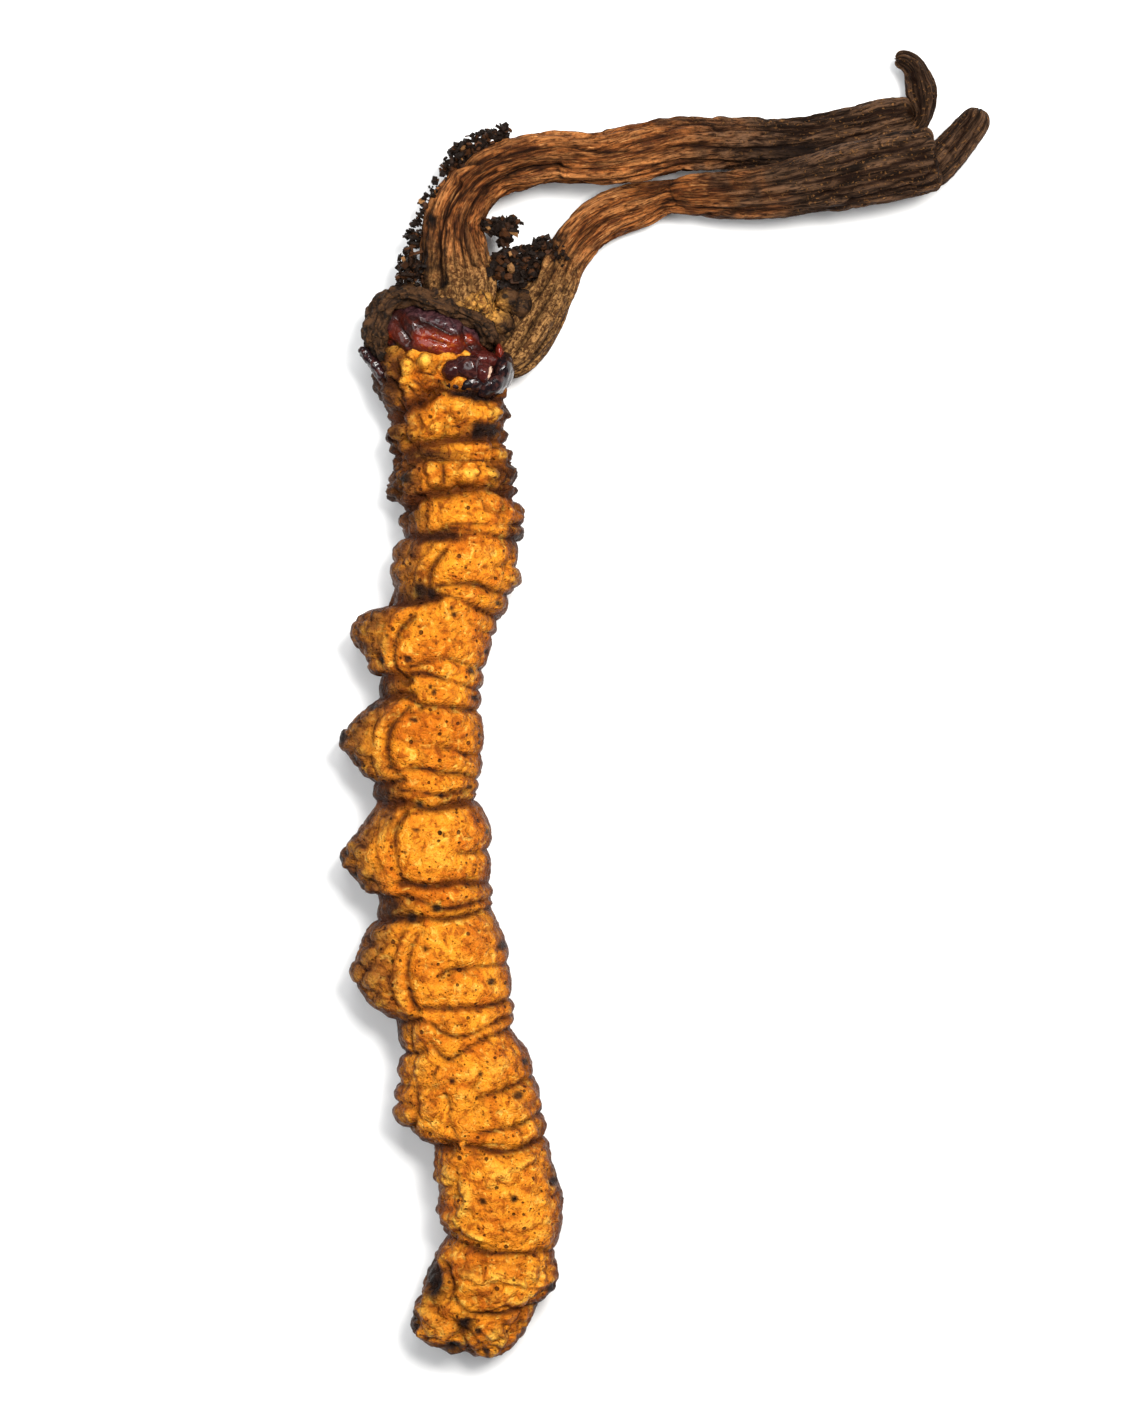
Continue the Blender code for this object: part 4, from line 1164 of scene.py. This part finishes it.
# %% Dark shell finish
dark = Finish("dark_shell", Coat_Weight=0.4, Coat_Roughness=0.03, Specular_IOR_Level=0.1)
dark_grain = dark.grain(0.22, 4, 0.4)
black_brown = dark.mix(dark.sharpen(dark_grain, 0.45, 0.7), (0.007, 0.004, 0.005), (0.045, 0.015, 0.012))
colour = dark.layers(black_brown, (dark.field("ruddy"), (0.28, 0.025, 0.010)),
                     # The pale colour is a painted highlight, on a thin sliver of the mouthparts.
                     (dark.field("pale"), (0.55, 0.36, 0.25)))
dark_shell = dark.finish(colour, 0.25, dark.relief(dark_grain, 0.05))

# %% The mouthparts
# The thin pale sliver on the round lobe's right edge is a painted highlight.
MOUTH_LOBES = [  # middle, half sizes, turn, how red, how pale
    ((-9.5, 14.85, 4.15), (0.58, 0.46, 0.62), 20, 0.06, 0.0),
    ((-8.85, 14.9, 4.2), (0.66, 0.58, 0.75), -10, 0.05, 0.0),
    ((-8.2, 14.7, 4.15), (0.42, 0.48, 0.62), 15, 0.12, 0.0),
    ((-8.7, 14.2, 3.85), (0.80, 0.42, 0.7), 15, 0.0, 0.0),
    ((-7.85, 14.15, 3.4), (0.85, 0.52, 1.0), 30, 0.0, 0.0),
    ((-9.35, 14.15, 3.85), (0.50, 0.32, 0.45), 0, 0.0, 0.0),
    ((-7.35, 14.85, 3.0), (0.52, 0.85, 1.2), -12, 0.0, 0.0),
    ((-7.45, 15.6, 3.2), (0.16, 0.50, 0.7), 8, 0.5, 0.0),
    # Painted highlight: a thin pale sliver on the round lobe's right edge.
    ((-7.9, 14.64, 4.35), (0.08, 0.32, 0.35), -15, 0.0, 1.0),
    ((-8.2, 15.3, 3.4), (0.7, 0.5, 1.0), -10, 0.16, 0.0),
]
SEED_GAP = 642          # far apart, so that no lobe looks like its neighbour
mouth_seeds = [61 + SEED_GAP * number for number in range(len(MOUTH_LOBES))]
mouth, owner = join_lobes([row[:3] for row in MOUTH_LOBES], 4, mouth_seeds, (0.09, 0.5), (0.025, 0.2, 62))
red, light = np.array([row[3:] for row in MOUTH_LOBES]).T
make_piece("jaws_and_lip", mouth, dark_shell, "dark_shell", "mouthparts", ruddy=red[owner],
           pale=light[owner])

# %% The leg
LEG = [
    (-11.9, 14.2, 2.9, 0.50, 0.50), (-12.45, 14.55, 3.0, 0.46, 0.46), (-12.9, 14.95, 3.1, 0.34, 0.38),
    (-13.25, 15.35, 3.15, 0.27, 0.28), (-13.5, 15.65, 3.15, 0.23, 0.23), (-13.75, 15.88, 3.15, 0.18, 0.18),
]
leg, unit, _ = tube(LEG, 32, 70, (0.1, 0.12))
sculpt(leg, [], [], (0.07, 0.25, 71))
make_piece("hooked_leg", leg, dark_shell, "dark_shell", "foreleg",
           ruddy=0.03 * smoothstep(0.8, 0.3, unit[:, 2]), pale=np.zeros(len(unit)))

# %% [markdown]
# ## The collar
#
# The fungus pushed a fold of grey-brown skin over the head before it dried.
# It wraps the head from behind like the rim of a hood, so it is a roll carried
# round the head, taller than it is wide. Crumbly yellow tissue fills the fork
# where the two stromata part.

# %% Fungal skin finish
fungal = Finish("fungal_skin", Specular_IOR_Level=0.08)
yellow, pit = fungal.field("yellow"), fungal.field("fold")
wrinkle = fungal.grain(0.45, 5, 0.9, roughness=0.6)
crumb = fungal.grain(0.12, 4, 0.3)
tissue = fungal.layers(
    fungal.mix(fungal.sharpen(wrinkle, 0.4, 0.62), (0.60, 0.29, 0.06), (0.16, 0.060, 0.014)),
    (fungal.sharpen(crumb, 0.55, 0.66, 0.0, 0.85), (0.035, 0.015, 0.007)),
)
colour = fungal.layers(
    fungal.mix(fungal.sharpen(wrinkle, 0.40, 0.62), (0.072, 0.033, 0.014), (0.010, 0.006, 0.004)),
    (fungal.sharpen(crumb, 0.58, 0.72, 0.0, 0.45), (0.20, 0.095, 0.03)),
    (yellow, tissue),
    # Pleat valleys and holes are painted dark: a painted shade.
    (fungal.times(pit, 0.9), (0.014, 0.009, 0.007)),
)
fungal_skin = fungal.finish(colour, 0.62, fungal.relief(fungal.plus(wrinkle, crumb), 0.12))

# %% The hood's rim
HOOD = [
    (-12.6, 15.1, 2.3, 0.35, 0.9), (-12.95, 15.8, 2.35, 0.50, 1.3), (-13.0, 16.6, 2.4, 0.58, 1.6),
    (-12.8, 17.35, 2.4, 0.62, 1.7), (-12.4, 17.9, 2.45, 0.60, 1.75), (-11.8, 18.1, 2.5, 0.55, 1.75),
    (-11.0, 18.05, 2.55, 0.46, 1.7), (-10.1, 17.75, 2.6, 0.38, 1.65), (-9.3, 17.4, 2.6, 0.36, 1.6),
    (-8.5, 17.0, 2.6, 0.42, 1.55), (-8.0, 16.55, 2.5, 0.45, 1.45), (-7.65, 15.9, 2.4, 0.40, 1.3),
]
hood, unit, blunt = tube(HOOD, 72, 260, (0.06, 0.08))
base, outward = points_of(hood), normals_of(hood)
way = np.column_stack((unit[:, 0] * 1.6, unit[:, 1] * 1.6, unit[:, 2] * 2.6))
# Pleats run along the rim, as the wrinkles do along a stalk.
pleats = np.abs(rough(way, 0.6, 81, 2))
height = (0.60 * np.minimum(pleats, 0.5) - 0.16 + 0.24 * rough(base, 0.9, 82)) * smoothstep(0, 0.4, blunt)
push(hood, base, outward, height)
# The pleats' valleys are painted dark, as shade.
make_piece("collar_hood", hood, fungal_skin, "fungal_skin", "collar", yellow=np.zeros(len(unit)),
           fold=np.exp(-((pleats / 0.08) ** 2)))

# %% The tissue of the fork
TISSUE = [  # middle, half sizes, turn
    ((-9.5, 17.95, 2.3), (1.35, 0.55, 1.45), -12), ((-8.2, 17.75, 2.7), (0.48, 0.90, 1.3), 10),
    ((-8.75, 17.9, 2.6), (0.50, 0.60, 1.2), -20), ((-7.5, 17.0, 2.2), (0.75, 0.70, 1.2), -30),
    ((-10.4, 18.25, 2.4), (0.6, 0.4, 1.25), 0), ((-7.1, 18.1, 2.0), (0.70, 0.65, 1.2), 30),
    ((-6.5, 17.8, 2.0), (0.6, 0.8, 1.2), -20),
]
tissue_bm, _ = join_lobes(TISSUE, 5, range(91, 91 + len(TISSUE)), (0.10, 0.6), (0.035, 0.16, 97))
places = points_of(tissue_bm)
# Holes in the tissue are only painted dark, as shade; none are cut.
holes = smoothstep(0.25, 0.5, rough(places, 0.3, 99, 2))
# The tissue is yellow in the middle of the fork and brown further out.
gold = smoothstep(1.5, 0.4, np.hypot(places[:, 0] + 8.2, (places[:, 1] - 17.7) * 1.1)
                 + 0.3 * rough(places, 0.5, 98, 2))
make_piece("collar_tissue", tissue_bm, fungal_skin, "fungal_skin", "collar", yellow=gold, fold=holes)

# %% [markdown]
# ## Soil
#
# Four clumps of soil still cling to it. Soil is chips: flat flakes, sticks and
# grains that touch at their corners, with gaps of light between them. One
# rough ball would never look like that, so each clump is a crowd of chips,
# thrown by a seeded random generator so that it always comes out the same.

# %% Soil finish
earth = Finish("dark_soil", Specular_IOR_Level=0.08)
tone = earth.field("tone")
earth_grain = earth.grain(0.10, 3, 0.3)
colour = earth.layers(
    earth.mix(earth.sharpen(tone, 0.6, 0.97), (0.008, 0.0045, 0.003), (0.060, 0.022, 0.008)),
    (earth.sharpen(tone, 0.975, 0.985), (0.26, 0.125, 0.045)),
    (earth.sharpen(earth_grain, 0.5, 0.7, 0.0, 0.5), (0.030, 0.018, 0.012)),
)
dark_soil = earth.finish(colour, earth.sharpen(earth_grain, 0.3, 0.7, 0.35, 0.7),
                         earth.relief(earth_grain, 0.06))


# %% A clump of chips
OVERSIZE = 1.5          # chips are larger than their spacing, so that neighbours touch
GRAINS = 0.55           # share of the chips that are round grains
STICKS = 0.15           # share that are thin sticks; the others are flakes


def clump(name, crowds, seed, node):
    """Chips in ellipsoids (middle, half sizes, turn, how many, largest size in mm)."""
    dice = random.Random(seed)
    bm = bmesh.new()
    tones = []
    for at, half, turned, count, largest in crowds:
        around = Matrix.Translation(at) @ Matrix.Rotation(math.radians(turned), 4, "Z")
        for _ in range(count):
            spot = Vector([dice.gauss(0, 1) for _ in range(3)])
            spot *= dice.random() ** 0.4 / spot.length
            size = OVERSIZE * largest * (0.35 + 0.65 * dice.random() ** 2)
            shape = Vector((1, dice.uniform(0.4, 1), dice.uniform(0.25, 0.8))) * size / 2
            angle = dice.uniform(0, 6.28)
            spin = Matrix.Rotation(angle, 4, Vector([dice.gauss(0, 1) for _ in range(3)]))
            place = around @ Matrix.Translation([a * b for a, b in zip(spot, half)])
            kind = dice.random()
            if kind < GRAINS:
                made = bmesh.ops.create_icosphere(bm, subdivisions=1, radius=1)["verts"]
            else:
                made = bmesh.ops.create_cube(bm, size=1.5)["verts"]
            if kind > 1 - STICKS:
                shape = Vector((1.7, 0.35, 0.3)) * size / 2
            for vert in made:
                vert.co *= 1 + dice.uniform(-0.22, 0.22)
            bmesh.ops.transform(bm, matrix=place @ spin @ Matrix.Diagonal((*shape, 1)), verts=made)
            tones += [dice.random()] * len(made)
    for vert in bm.verts:
        vert.co.z = max(vert.co.z, 0.01)
    bmesh.ops.recalc_face_normals(bm, faces=bm.faces)
    make_piece(name, bm, dark_soil, "soil", node, tone=np.array(tones)).data.shade_flat()


# %% Four clumps
clump("bend_chips", [
    ((-9.3, 24.55, 2.8), (0.75, 0.5, 0.6), 40, 90, 0.42),
    ((-8.4, 25.15, 2.8), (0.85, 0.5, 0.55), 20, 120, 0.40),
    ((-7.5, 25.55, 2.8), (0.55, 0.30, 0.4), 25, 55, 0.36),
    ((-9.8, 24.0, 2.7), (0.35, 0.6, 0.5), -20, 40, 0.30),
    ((-10.5, 22.9, 2.6), (0.25, 0.9, 0.5), -25, 30, 0.24),
], 101, "soil_bend")
clump("side_chips", [
    ((-11.6, 19.5, 2.5), (0.55, 0.95, 0.9), -8, 170, 0.36),
    ((-11.35, 20.9, 2.5), (0.35, 0.9, 0.7), -8, 80, 0.30),
    ((-11.0, 22.1, 2.5), (0.22, 0.8, 0.5), -14, 40, 0.24),
    ((-11.0, 19.2, 2.9), (0.4, 0.8, 0.6), 0, 50, 0.24),
], 102, "soil_side")
clump("crook_chips", [
    ((-7.45, 21.4, 2.4), (0.75, 0.35, 0.45), -10, 110, 0.46),
    ((-6.95, 21.6, 2.4), (0.45, 0.35, 0.35), 0, 26, 0.36),
    ((-7.3, 20.75, 2.4), (0.5, 0.25, 0.35), 30, 26, 0.38),
    ((-8.2, 21.5, 2.4), (0.2, 0.4, 0.3), 0, 14, 0.3),
], 103, "soil_crook")
clump("fork_chips", [
    ((-7.15, 19.4, 2.5), (0.85, 1.0, 0.9), 10, 260, 0.42),
    ((-6.3, 19.8, 2.4), (0.6, 0.85, 0.8), 20, 150, 0.38),
    ((-5.55, 20.5, 2.2), (0.55, 0.45, 0.6), 40, 90, 0.34),
    ((-4.75, 20.1, 2.3), (0.40, 0.6, 0.25), 0, 40, 0.22),
], 104, "soil_fork")

# %% [markdown]
# ## Check and finish
#
# How far the finished model reaches past the frame at its high corner is
# printed, to show that the detail hasn't grown out of the object's real
# dimensions.

# %% Sizes
made_box = [list(corner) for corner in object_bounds()]
grown = [round((made - cad) / MM, 2) for cad, made in zip(cad_box[1], made_box[1])]
print("grown by", grown, "mm at the high corner")
